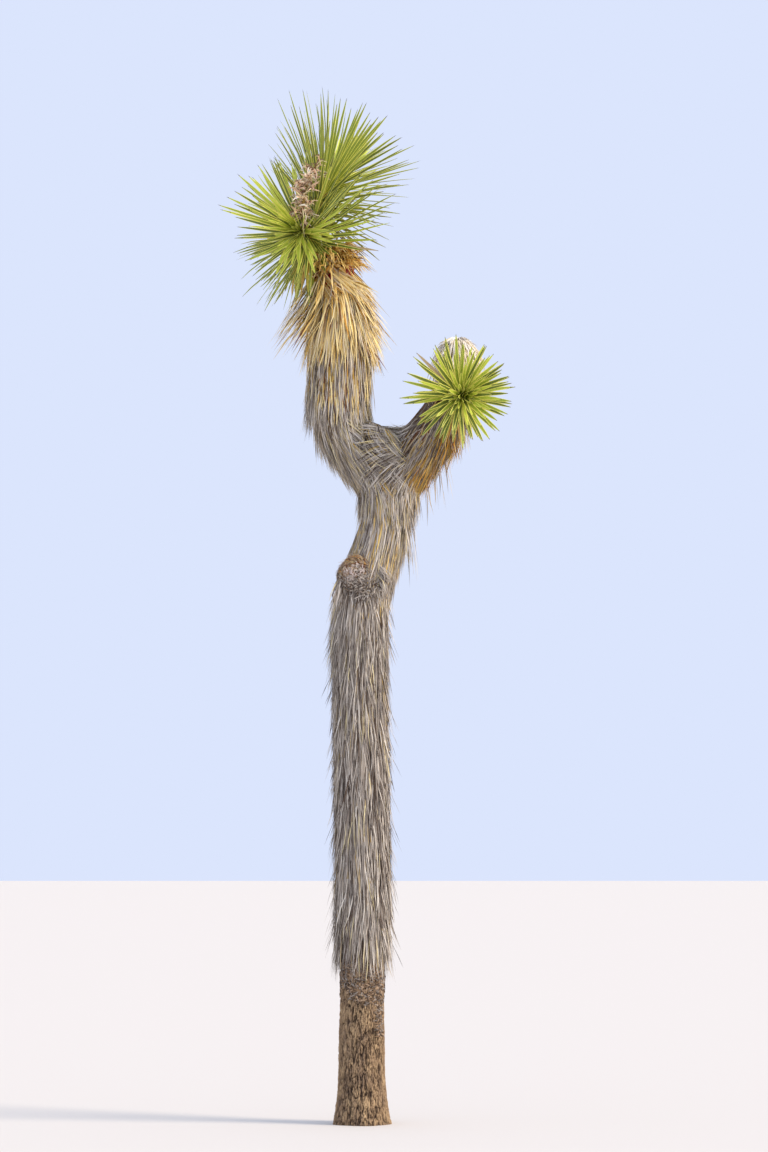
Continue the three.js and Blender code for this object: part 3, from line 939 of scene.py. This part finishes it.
stemMat = matFinish("stemMat", (96, 62, 36), (196, 178, 96))
for node, plan in rosettes.items():
    leaves = growLeaves(node + "_leaves", offStalk(rosetteLeaves(plan)), greenBlade, greenPaint())
    stem = tubePiece(node + "_stem", Limb(plan["stations"]), np.linspace(0, 1, 40), 32, stemReach, stemMat)
    for piece in (leaves, stem):
        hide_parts(node)
print("rosettes made")


# Loose tufts: leaves from a stretch of a mass's limb, all round unless turns says which side, in degrees.
# start and end are a leaf's parts outwards, down and up the limb; aim lays them over the surface towards
# a point instead

tufts = {
    "right_bough_fringe": {
        "node": "right_bough_thatch", "shares": (0.15, 0.45), "turns": (-40, 40), "coat": 34, "count": 18,
        "seed": 81, "length": 180, "start": (0.25, 1, 0), "end": (0.05, 1, 0), "wild": 0.14,
        "palette": duskCoat, "bias": 0.2,
    },
    "right_bough_tuft": {
        "node": "right_bough_thatch", "shares": (0.5, 0.66), "turns": (-60, 30), "coat": 34, "count": 60,
        "seed": 80, "length": 110, "start": (0.5, 1, 0), "end": (0.0, 1, 0), "wild": 0.22,
        "palette": duskCoat, "bias": 0.3,
    },
    "trunk_fringe": {
        "node": "upper_trunk_thatch", "shares": (0.87, 0.955), "turns": (-50, 45), "coat": 28, "count": 34,
        "seed": 82, "length": 210, "start": (0.25, 1, 0), "end": (0.04, 1, 0), "wild": 0.1,
        "palette": sunCoat,
    },
    "saddle_inside": {
        "node": "right_bough_thatch", "shares": (0.25, 0.6), "turns": (100, 260), "coat": 40, "count": 420,
        "seed": 78, "length": 150, "aim": (40, 0, 2680), "hug": 0.15, "wild": 0.2, "palette": greyCoat,
        "bias": -0.06,
    },
    "fork_from_right": {
        "node": "right_bough_thatch", "shares": (0.12, 0.5), "turns": (-150, -62), "coat": 46, "count": 560,
        "seed": 72, "length": 165, "width": 4.6, "aim": (60, -95, 2440), "hug": 0.04, "wild": 0.26,
        "palette": duskCoat, "bias": -0.02,
    },
    "fork_from_left": {
        "node": "left_lower_thatch", "shares": (0.2, 0.44), "turns": (-105, 10), "coat": 46, "count": 560,
        "seed": 71, "length": 165, "width": 4.6, "aim": (170, -70, 2560), "hug": 0.06, "wild": 0.3,
        "palette": greyCoat, "bias": 0.08,
    },
    "right_bough_upper": {
        "node": "right_bough_thatch", "shares": (0.46, 0.74), "coat": 38, "count": 700, "seed": 77,
        "length": 150, "start": (0.16, 0.1, -1), "end": (0.03, 0.4, -1), "wild": 0.18, "palette": duskCoat,
        "bias": -0.04,
    },
    "right_bough_back": {
        "node": "right_bough_thatch", "shares": (0.5, 0.84), "turns": (40, 160), "coat": 46, "count": 340,
        "seed": 96, "length": 145, "start": (0.16, 0.1, -1), "end": (0.03, 0.4, -1), "wild": 0.16,
        "palette": greyCoat,
    },
    "right_bough_amber": {
        "node": "right_bough_thatch", "shares": (0.12, 0.68), "turns": (-85, 30), "coat": 44, "count": 330,
        "seed": 75, "length": 160, "start": (0.14, 0.2, -1), "end": (0.02, 0.6, -1), "wild": 0.16,
        "palette": amberCoat,
    },
    "head_crown": {
        "node": "bleached_head", "shares": (0.95, 1.0), "coat": -46, "count": 110, "seed": 74, "length": 84,
        "width": 8, "start": (1, 0, 0.1), "end": (0.7, 1, 0), "wild": 0.3, "palette": boneCoat,
    },
    "skirt_flare": {
        "node": "golden_skirt", "shares": (0.76, 0.93), "coat": 30, "count": 260, "seed": 76, "length": 205,
        "width": 8.5, "start": (0.8, 1, 0), "end": (0.62, 1, 0), "wild": 0.22, "palette": goldCoat,
        "bias": -0.06,
    },
    "trunk_strays": {
        "node": "trunk_thatch", "shares": (0.4, 0.73), "coat": 30, "count": 560, "seed": 85, "length": 120,
        "start": (0.45, 1, 0), "end": (0.3, 1, 0), "wild": 0.14, "palette": greyCoat, "bias": -0.05,
    },
    "skirt_ruff": {
        "node": "golden_skirt", "shares": (0.88, 0.965), "turns": (-150, 80), "coat": 10, "count": 210,
        "seed": 86, "length": 185, "width": 9, "start": (1, -0.25, 0.35), "end": (0.5, 0.9, -0.1),
        "wild": 0.28, "palette": ruffCoat,
    },
    "skirt_left": {
        "node": "golden_skirt", "shares": (0.79, 0.92), "turns": (140, 235), "coat": 30, "count": 70,
        "seed": 83, "length": 262, "width": 9.5, "start": (1, 0.75, 0), "end": (0.8, 1, 0), "wild": 0.14,
        "palette": goldCoat, "bias": -0.05,
    },
    "skirt_right": {
        "node": "golden_skirt", "shares": (0.7, 0.82), "turns": (-45, 40), "coat": 40, "count": 34,
        "seed": 84, "length": 200, "width": 8, "start": (0.8, 0.9, 0), "end": (0.62, 1, 0), "wild": 0.16,
        "palette": goldCoat, "bias": -0.12,
    },
    "skirt_tails": {
        "node": "golden_skirt", "shares": (0.58, 0.75), "coat": 68, "count": 520, "seed": 67, "length": 185,
        "width": 6.5, "start": (0.08, 1, 0), "end": (-0.02, 1, 0), "wild": 0.08, "palette": goldCoat,
    },
    "skirt_ends": {
        "node": "golden_skirt", "shares": (0.5, 0.64), "turns": (-130, -15), "coat": 80, "count": 150,
        "seed": 68, "length": 150, "width": 5.5, "start": (0.08, 1, 0), "end": (-0.02, 1, 0), "wild": 0.08,
        "palette": goldCoat, "bias": -0.1,
    },
    "upper_strays": {
        "node": "left_upper_thatch", "shares": (0.54, 0.7), "coat": 84, "count": 320, "seed": 69,
        "length": 150, "width": 5, "start": (0.12, 1, 0), "end": (-0.04, 1, 0), "wild": 0.1,
        "palette": greyCoat, "bias": 0.1,
    },
    "scar_collar": {
        "node": "trunk_thatch", "shares": (0.715, 0.742), "turns": (-150, -60), "coat": 32, "count": 520,
        "seed": 93, "length": 50, "width": 4.6, "start": (0.1, 0.2, 0), "end": (-0.2, 0.2, 0), "wild": 0.9,
        "palette": greyCoat, "bias": -0.12,
    },
    "skirt_bases": {
        "node": "golden_skirt", "shares": (0.81, 0.9), "turns": (-165, -20), "coat": 62, "count": 40,
        "seed": 70, "length": 42, "width": 14, "start": (0.3, 1, 0), "end": (0.1, 1, 0), "wild": 0.3,
        "palette": sorts("wine/wine 1"),
    },
    "skirt_arch": {
        "node": "golden_skirt", "shares": (0.9, 0.99), "turns": (-175, -70), "coat": 32, "count": 110,
        "seed": 73, "length": 225, "width": 9, "aim": (-30, -80, 3340), "hug": 0.08, "wild": 0.2,
        "palette": goldCoat[4:],
    },
    "skirt_curls": {
        "node": "golden_skirt", "shares": (0.88, 0.955), "turns": (-60, 130), "coat": 14, "count": 150,
        "seed": 89, "length": 110, "width": 6, "start": (0.9, -0.4, 0.4), "end": (0.9, 0.1, -0.1),
        "wild": 0.6, "palette": ruffCoat, "bias": -0.15,
    },
    "rosette_beard": {
        "node": "right_rosette", "shares": (0.0, 0.3), "coat": 2, "count": 110, "seed": 87, "length": 140,
        "width": 7, "start": (1, 0.5, -0.1), "end": (0.15, 1, -0.3), "wild": 0.25, "palette": duskCoat,
        "bias": 0.3,
    },
}


tuftHabit = {"turns": (0, 360), "coat": 0, "sunk": (6, 6), "width": deadWidth, "bias": 0}


def tuftLeaves(plan, limb, facesTip=False):
    plan = {**tuftHabit, **plan}
    i = np.arange(plan["count"])
    seed = plan["seed"]
    ring = limb.at(lerp(*plan["shares"], chance(i, seed)))
    outward = outwardAt(ring, np.radians(lerp(*plan["turns"], chance(i, seed + 1))))
    rise = ring["radius"] + plan["coat"] - plan["sunk"][0] - plan["sunk"][1] * chance(i, seed + 5)
    root = ring["centre"] + outward * column(rise)
    wild = scatter(i, seed + 2, plan["wild"])
    if "aim" in plan:
        along = towards(plan["aim"], root, outward)
        start = along + outward * 0.1
        end = along + down * 0.2 - outward * plan["hug"]
    else:
        start, end = (outward * out + down * drop + ring["tangent"] * climb
                      for out, drop, climb in (plan["start"], plan["end"]))
    return {
        "root": root,
        "start": unit(start + wild * 0.6),
        "end": unit(end + wild),
        "up": ring["tangent"] if facesTip else outward,
        "length": plan["length"] * (1 + jitter(i, seed + 6, 0.3)),
        "tint": dealt(i, seed + 10, plan["palette"], plan["bias"]),
        **leafShapes(i, seed + 7, plan["width"]),
    }


for name, plan in tufts.items():
    limb = limbOf({**coats, **rosettes}[plan["node"]])
    tuft = growLeaves(name, tuftLeaves(plan, limb), deadBlade, plainPaint(deadBlade, plan["palette"]))
    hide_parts(plan["node"])

# live leaves outside the rule: limp ones, thin dark ones under the rest, ones that close the left of the
# crown, and short broad ones at the hearts
greenTufts = {
    "rosette_droop": {
        "node": "lower_rosette", "shares": (0.0, 0.4), "turns": (150, 285), "count": 32, "seed": 88,
        "length": 200, "width": 13, "start": (1, 0.35, 0.1), "end": (0.35, 1, -0.25), "wild": 0.25,
        "palette": greenSorts, "bias": 0.2,
    },
    "rosette_under": {
        "node": "lower_rosette", "shares": (0.1, 0.5), "turns": (140, 275), "count": 70, "seed": 90,
        "length": 270, "width": 8, "start": (1, 0.1, 0.2), "end": (1, 0.35, 0.0), "wild": 0.3,
        "palette": greenSorts[2:4], "bias": -0.3,
    },
    "rosette_gap": {
        "node": "lower_rosette", "shares": (0.3, 0.9), "turns": (92, 150), "count": 36, "seed": 95,
        "length": 245, "width": 12, "start": (1, 0, 0.35), "end": (1, 0, 0.1), "wild": 0.16,
        "palette": greenSorts[:3], "bias": 0.05,
    },
    "rosette_left": {
        "node": "upper_rosette", "shares": (0.3, 0.85), "turns": (135, 212), "count": 58, "seed": 94,
        "length": 285, "width": 12, "start": (0.5, 0, 1), "end": (0.85, 0, 0.9), "wild": 0.14,
        "palette": greenSorts[:3], "bias": 0.1,
    },
    "rosette_heart": {
        "node": "lower_rosette", "shares": (0.86, 1.0), "turns": (-175, 10), "count": 14, "seed": 91,
        "length": 165, "width": 19, "start": (1, 0.1, 0.75), "end": (1, 0.35, 0.05), "wild": 0.2,
        "palette": greenSorts[:1],
    },
    "right_heart": {
        "node": "right_rosette", "shares": (0.9, 1.0), "count": 16, "seed": 92, "length": 70, "width": 13,
        "start": (0.9, 0, 0.6), "end": (1, 0.2, 0.3), "wild": 0.2, "palette": greenSorts[:2],
    },
}

for name, plan in greenTufts.items():
    first = greenSorts.index(plan["palette"][0])
    leaves = tuftLeaves(plan, limbOf(rosettes[plan["node"]]), facesTip=True)
    tuft = growLeaves(name, leaves, greenBlade, greenPaint()[first:])
    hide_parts(plan["node"])
print("tufts made")


# The saddle between the boughs: leaves of both lie along it and cross

saddlePlan = {
    "x": (30, 228), "y": (-104, 104), "middle": 128, "z": 2766, "rise": 38, "fall": 72, "deep": 24,
    "count": 1000, "seed": 79, "length": 120,
}


def saddleAt(plan, x, y):
    # a surface that sags between the boughs and rounds off to the front and the back, and its normal
    reach, side = (plan["x"][1] - plan["x"][0]) / 2, plan["y"][1]
    high = plan["z"] + plan["rise"] * ((x - plan["middle"]) / reach) ** 2 - plan["fall"] * (y / side) ** 2
    slopeX = 2 * plan["rise"] * (x - plan["middle"]) / reach**2
    slopeY = -2 * plan["fall"] * y / side**2
    return np.stack([x, y, high], axis=-1), unit(np.stack([-slopeX, -slopeY, np.ones(len(x))], axis=-1))


def saddleLeaves(plan):
    i = np.arange(plan["count"])
    seed = plan["seed"]
    x = lerp(*plan["x"], chance(i, seed))
    y = lerp(*plan["y"], chance(i, seed + 1))
    length = plan["length"] * (1 + jitter(i, seed + 2, 0.35))
    way = np.where(chance(i, seed + 3) < smoothStep(60, 200, x), -1.0, 1.0)
    yaw = jitter(i, seed + 4, 0.45) + y / 260
    head, headNormal = saddleAt(plan, np.clip(x - way * length / 2, *plan["x"]), y - length / 2 * yaw)
    tip, tipNormal = saddleAt(plan, np.clip(x + way * length / 2, *plan["x"]), y + length / 2 * yaw)
    course = unit(tip - head)

    def along(normal, rise):
        return unit(course - normal * dot(course, normal) + normal * column(rise))

    return {
        "root": head - headNormal * column(plan["deep"] * chance(i, seed + 5)),
        "start": along(headNormal, jitter(i, seed + 6, 0.1)),
        "end": along(tipNormal, jitter(i, seed + 7, 0.16)),
        "up": headNormal,
        "length": length,
        "tint": dealt(i, seed + 11, greyCoat, 0.04),
        **leafShapes(i, seed + 8, deadWidth),
    }


saddle = growLeaves("saddle_top", saddleLeaves(saddlePlan), deadBlade, plainPaint(deadBlade, greyCoat))
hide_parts("fork_thatch")
print("saddle made")


# The dried flower stalk between the two upper rosettes

huskCoat = sorts("stub/rust 2, husk/stub 8, straw/husk 5, cream/husk 4, bone/cream 1")


def stalkTwigs(plan, limb):
    # the source's rule for the stalk's twigs, more of them and curled
    i = np.arange(plan["twigs"])
    seed = plan["seed"]
    ring = limb.at(lerp(0.3, 0.98, (i + 0.5) / plan["twigs"]))
    outward = outwardAt(ring, i * goldenAngle)
    toLeft = column(i % 3 == 1) * (ring["centre"][:, 2:] < plan["leftBelow"])
    outward = unit(lerp(outward, np.array([-1.0, -0.3, 0]), toLeft))
    lean = plan["spread"] + jitter(i, seed, 22)
    return {
        "root": ring["centre"],
        "start": leaning(ring["tangent"], outward, lean - 25),
        "end": unit(leaning(ring["tangent"], outward, lean + 55 + jitter(i, seed + 3, 60)) + down * 0.3),
        "up": ring["tangent"],
        "length": plan["length"] * (1 + jitter(i, seed + 1, 0.3) + toLeft[:, 0] * 0.3),
        "tint": dealt(i, seed + 5, huskCoat, -0.2),
        **leafShapes(i, seed + 2, 5.0, 5.0, uneven=0, twist=0, sway=9),
    }


def stalkBracts(plan, twigs):
    # papery curled bracts scattered along the twigs
    i = np.arange(plan["bracts"])
    seed = plan["seed"] + 40
    twig = kept(twigs, i % plan["bractTwigs"])
    first, second = (unit(scatter(i, seed + k, 1)) for k in (1, 4))
    return {
        "root": leafPoints(twig, column(0.2 + 0.8 * chance(i, seed)))[:, 0],
        "start": unit(twig["start"] + first * 0.9),
        "end": unit(first * 0.6 + second * 0.8 + down * 0.4),
        "up": np.roll(first, 1, axis=1),
        "length": 46 * (1 + jitter(i, seed + 7, 0.5)),
        "tint": dealt(i, seed + 11, huskCoat),
        **leafShapes(i, seed + 8, 7, 3.0, uneven=0.3, twist=3, sway=5),
    }


def stalkReach(share, turn, plain, wood):
    return wood * 0.8, {"relief": roughNoise(plain / 8, 5)}


deadOnStalk = {
    "shares": (0.25, 0.55), "coat": 4, "count": 16, "seed": 93, "length": 115, "width": 7,
    "start": (1, 0.1, 0.2), "end": (0.4, 1, 0), "wild": 0.4, "palette": huskCoat[2:],
}
stalkLimb = Limb(stalkPlan["stations"])
twigs = stalkTwigs(stalkPlan, stalkLimb)
stalkPieces = [
    growLeaves("flower_twigs", twigs, twigBlade, plainPaint(twigBlade, huskCoat)),
    growLeaves("flower_bracts", stalkBracts(stalkPlan, twigs), curlBlade, plainPaint(curlBlade, huskCoat)),
    tubePiece("flower_stem", stalkLimb, np.linspace(0, 1, 60), 14, stalkReach, stemMat),
    growLeaves("flower_leaves", tuftLeaves(deadOnStalk, stalkLimb), deadBlade,
               plainPaint(deadBlade, deadOnStalk["palette"])),
]
for piece in stalkPieces:
    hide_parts("dried_flower_stalk")
print("flower stalk made")


# The scar's knob in a whorl of curled bark

def cushion(ball):
    # points of a unit ball with its front pressed flat, as |y| becomes its square root, its lower corners
    # filled out and its shoulders taken in
    fill = 1 + np.abs(ball[:, 0]) * np.where(ball[:, 2] < 0, -0.42, -0.3) * ball[:, 2]
    flat = np.sign(ball[:, 1]) * np.abs(ball[:, 1]) ** 0.5
    return np.stack([ball[:, 0] * fill, flat, ball[:, 2] * fill], axis=-1)


def scarKnob(plan):
    # a cushion by latitude and longitude, roughened; its poles are closed by fans
    rows, columns = 60, 90
    lift, turn = np.meshgrid(np.linspace(-1, 1, rows) * 0.49 * math.pi,
                             np.linspace(0, 2 * math.pi, columns, endpoint=False), indexing="ij")
    ball = np.stack([np.cos(lift) * np.cos(turn), np.cos(lift) * np.sin(turn), np.sin(lift)], axis=-1)
    ball = np.vstack([ball.reshape(-1, 3), [(0, 0, -1), (0, 0, 1)]])
    rough = roughNoise(ball * [9, 5, 9], plan["seed"])
    radii = np.array(plan["radii"]) - 5
    points = np.array(plan["centre"]) + cushion(ball) * (radii + column(rough - 0.5) * 14)
    return meshPiece("scar_knob", points, wrappedFaces(rows, columns), [scarMat], smooth=True,
                     marks={"relief": smoothStep(0.3, 0.7, rough)})


scarSorts = {
    "rim": sorts("rust/umber 3, tan/rust 7, amber/rust 1, stub/rust 2, stubPale/stub 9"),
    "foot": sorts("umber/umber 2, ashDark/umber 2, ashMid/ashDark 4, stub/umber 2, stubPale/stub 5, "
                  "ash/ashMid 9, ashPale/ashMid 3"),
    "heart": sorts("stub/umber 1, stubPale/stub 2, ash/stub 3, scarPale/stubPale 7, ashPale/ash 3"),
}
scarCoat = sum(scarSorts.values(), [])


def scarCurls(plan):
    # fine curls lie round the scar's outward axis: rusty over it, dark below, a pale mat at its heart
    i = np.arange(plan["curls"])
    seed = plan["seed"]
    outAxis = unit(np.array([-0.06, -0.98, 0.02]))
    right = unit(np.cross(outAxis, [0, 0, 1]))
    high = np.cross(right, outAxis)
    turn = i * goldenAngle
    away = np.sqrt((i + 0.5) / plan["curls"]) * 1.6  # angle from the axis
    ray = right * np.cos(column(turn)) + high * np.sin(column(turn))
    normal = outAxis * np.cos(column(away)) + ray * np.sin(column(away))
    around = unit(np.cross(outAxis, ray))
    ragged = softNoise(normal * 5, seed) - 0.5
    fromMiddle = np.hypot(away * np.cos(turn) - 0.1, (away * np.sin(turn) + 0.02) / 0.72)
    middle = smoothStep(0.8, 0.4, fromMiddle + ragged * 0.5)
    number = {key: sum(len(scarSorts[k]) for k in list(scarSorts)[:n]) + dealt(i, seed + 8, scarSorts[key])
              for n, key in enumerate(scarSorts)}
    onRim = ray[:, 2] * np.sin(away) + jitter(i, seed + 9, 0.35) > 0.1
    sagging = down * column(12 * smoothStep(-0.2, -0.9, ray[:, 2]) * smoothStep(0.8, 1.4, away))
    wild = scatter(i, seed + 1, 1)
    start = around * column(1 - middle * 0.7) + wild * 0.6 + normal * 0.25 + down * column(middle) * 0.5
    end = around * column(0.8 - middle * 0.6) - normal * 0.4 - ray * 0.3 + wild * 0.75
    return {
        "root": np.array(plan["centre"]) + cushion(normal) * (np.array(plan["radii"]) - 5) + sagging,
        "start": unit(start),
        "end": unit(end),
        "up": normal,
        "length": 25 * (1 + jitter(i, seed + 4, 0.45)),
        **leafShapes(i, seed + 5, 4, 2.4, uneven=0.35, twist=1.4, sway=3),
        "tint": np.where(chance(i, seed + 10) < middle, number["heart"],
                         np.where(onRim, number["rim"], number["foot"])),
    }


def scarFan(plan):
    # dead leaves rooted in the scar's rim, all round but its top, bend out of it and hang down
    i = np.arange(plan["fan"])
    seed = plan["seed"] + 20
    turn = np.radians(lerp(-158, 30, chance(i, seed)))
    wild = scatter(i, seed + 1, 0.22)
    rim = np.stack([np.cos(turn), np.full(len(i), -0.35), np.sin(turn)], axis=-1)
    sideways = np.cos(turn) * np.where(np.cos(turn) < 0, 0.4, 0.9)
    start = np.stack([sideways, np.full(len(i), -0.3), np.sin(turn) * 0.6 - 0.35], axis=-1)
    end = np.stack([sideways * 0.1, np.full(len(i), 0.1), -np.ones(len(i))], axis=-1)
    inset = column(0.78 + 0.2 * chance(i, seed + 4))
    return {
        "root": np.array(plan["centre"]) + rim * np.array(plan["radii"]) * inset,
        "start": unit(start + wild),
        "end": unit(end + wild * 0.6),
        "up": unit(np.array([0.0, -1, 0]) + rim * 0.6),
        "length": 100 * (1 + jitter(i, seed + 5, 0.4)),
        "tint": dealt(i, seed + 9, greyCoat, -0.05),
        **leafShapes(i, seed + 6, deadWidth),
    }


scarMat = matFinish("scarMat", (92, 74, 60), (150, 128, 108))
knob = scarKnob(scarPlan)
curls = growLeaves("scar_curls", scarCurls(scarPlan), deadBlade, plainPaint(deadBlade, scarCoat))
fan = growLeaves("scar_fan", scarFan(scarPlan), deadBlade, plainPaint(deadBlade, greyCoat))
for piece in (knob, curls, fan):
    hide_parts("branch_scar")
print("scar made")


# Curled stubs where the coat has worn off above the bare bark

stubPlan = {
    "from": 515, "to": 690, "ragged": 110, "strip": (345, 560), "stripTurn": -0.62, "stripWide": 0.13,
    "count": 3300, "seed": 16,
}
stubCoat = sorts("umber/umber 3, stub/umber 5, ashDark/umber 3, ashMid/stub 3, stubPale/stub 4")


def footStubs(plan):
    # short curls pressed round the trunk, thickest just below the coat
    i = np.arange(plan["count"])
    seed = plan["seed"]
    compass = np.stack([np.cos(i * goldenAngle), np.sin(i * goldenAngle), i * 0], axis=-1)
    ragged = plan["ragged"] * (softNoise(compass * 2.2, seed) - 0.5)
    height = plan["to"] - (plan["to"] - plan["from"] + ragged) * chance(i, seed) ** 1.1
    onStrip = i % 11 == 0  # a worn strip of them runs down the right of the front
    height = np.where(onStrip, lerp(*plan["strip"], chance(i, seed + 11)), height)
    turn = np.where(onStrip, plan["stripTurn"] + jitter(i, seed + 12, plan["stripWide"]), i * goldenAngle)
    ring = limbs["trunk"].at(shareAtHeight(limbs["trunk"], height))
    outward = outwardAt(ring, turn)
    around = np.cross(ring["tangent"], outward) * column(np.sign(jitter(i, seed + 1, 1)))
    wild = scatter(i, seed + 2, 1)
    flat = wild - outward * dot(wild, outward)
    return {
        "root": ring["centre"] + outward * column(ring["radius"] + 4 * chance(i, seed + 5)),
        "start": unit(around + flat * 0.8 + outward * 0.3),
        "end": unit(around * 0.5 + flat * 0.9 - outward * 0.5),
        "up": outward,
        "length": 25 * (1 + jitter(i, seed + 6, 0.5)),
        "tint": dealt(i, seed + 10, stubCoat),
        **leafShapes(i, seed + 7, 4.6, 2.6, uneven=0.35, twist=2.0, sway=3),
    }


stubs = growLeaves("foot_stubs", footStubs(stubPlan), curlBlade, plainPaint(curlBlade, stubCoat))
print("stubs made")


# Floor, light and camera

stagePlan = {
    "floorHalf": 60, "floor": (226, 220, 212), "sky": (219, 229, 253), "skyStrength": 1.0,
    "sunFrom": (12.0, -4.5, 9.0), "sunStrength": 2.9, "sunSoft": 22, "sunColour": (255, 240, 220),
}


def aimed(made, place, aim):
    # a lamp or camera stands at a place and faces a point
    made.location = place
    made.rotation_euler = (Vector(aim) - Vector(place)).to_track_quat("-Z", "Y").to_euler()


def makeStage(plan):
    half = plan["floorHalf"]
    mesh = bpy.data.meshes.new("floor")
    corners = [(-half, -half, 0), (half, -half, 0), (half, half, 0), (-half, half, 0)]
    mesh.from_pydata(corners, [], [(0, 1, 2, 3)])
    floor = added("floor", mesh)
    mesh.materials.append(Finish("floorPaint", plan["floor"], 0.9, 0.1).material)
    world = bpy.data.worlds.new("sky")
    world.use_nodes = True
    sky = world.node_tree.nodes["Background"].inputs
    sky["Color"].default_value = linear(plan["sky"])
    sky["Strength"].default_value = plan["skyStrength"]
    bpy.context.scene.world = world
    lamp = bpy.data.lights.new("sun", "SUN")
    lamp.energy = plan["sunStrength"]
    lamp.angle = math.radians(plan["sunSoft"])
    lamp.color = linear(plan["sunColour"])[:3]
    aimed(added("sun", lamp), plan["sunFrom"], (0, 0, 0))
    bpy.context.scene.view_settings.view_transform = "Standard"


cameraPlan = {"place": (0.088, -15.0, 1.2), "aim": (0.088, 0.0, 2.176), "lens": 117.4}


def makeCamera(plan):
    lens = bpy.data.cameras.new("camera")
    lens.lens = plan["lens"]
    lens.clip_end = 300
    camera = added("camera", lens)
    aimed(camera, plan["place"], plan["aim"])
    bpy.context.scene.camera = camera


makeStage(stagePlan)
makeCamera(cameraPlan)
print("stage made")
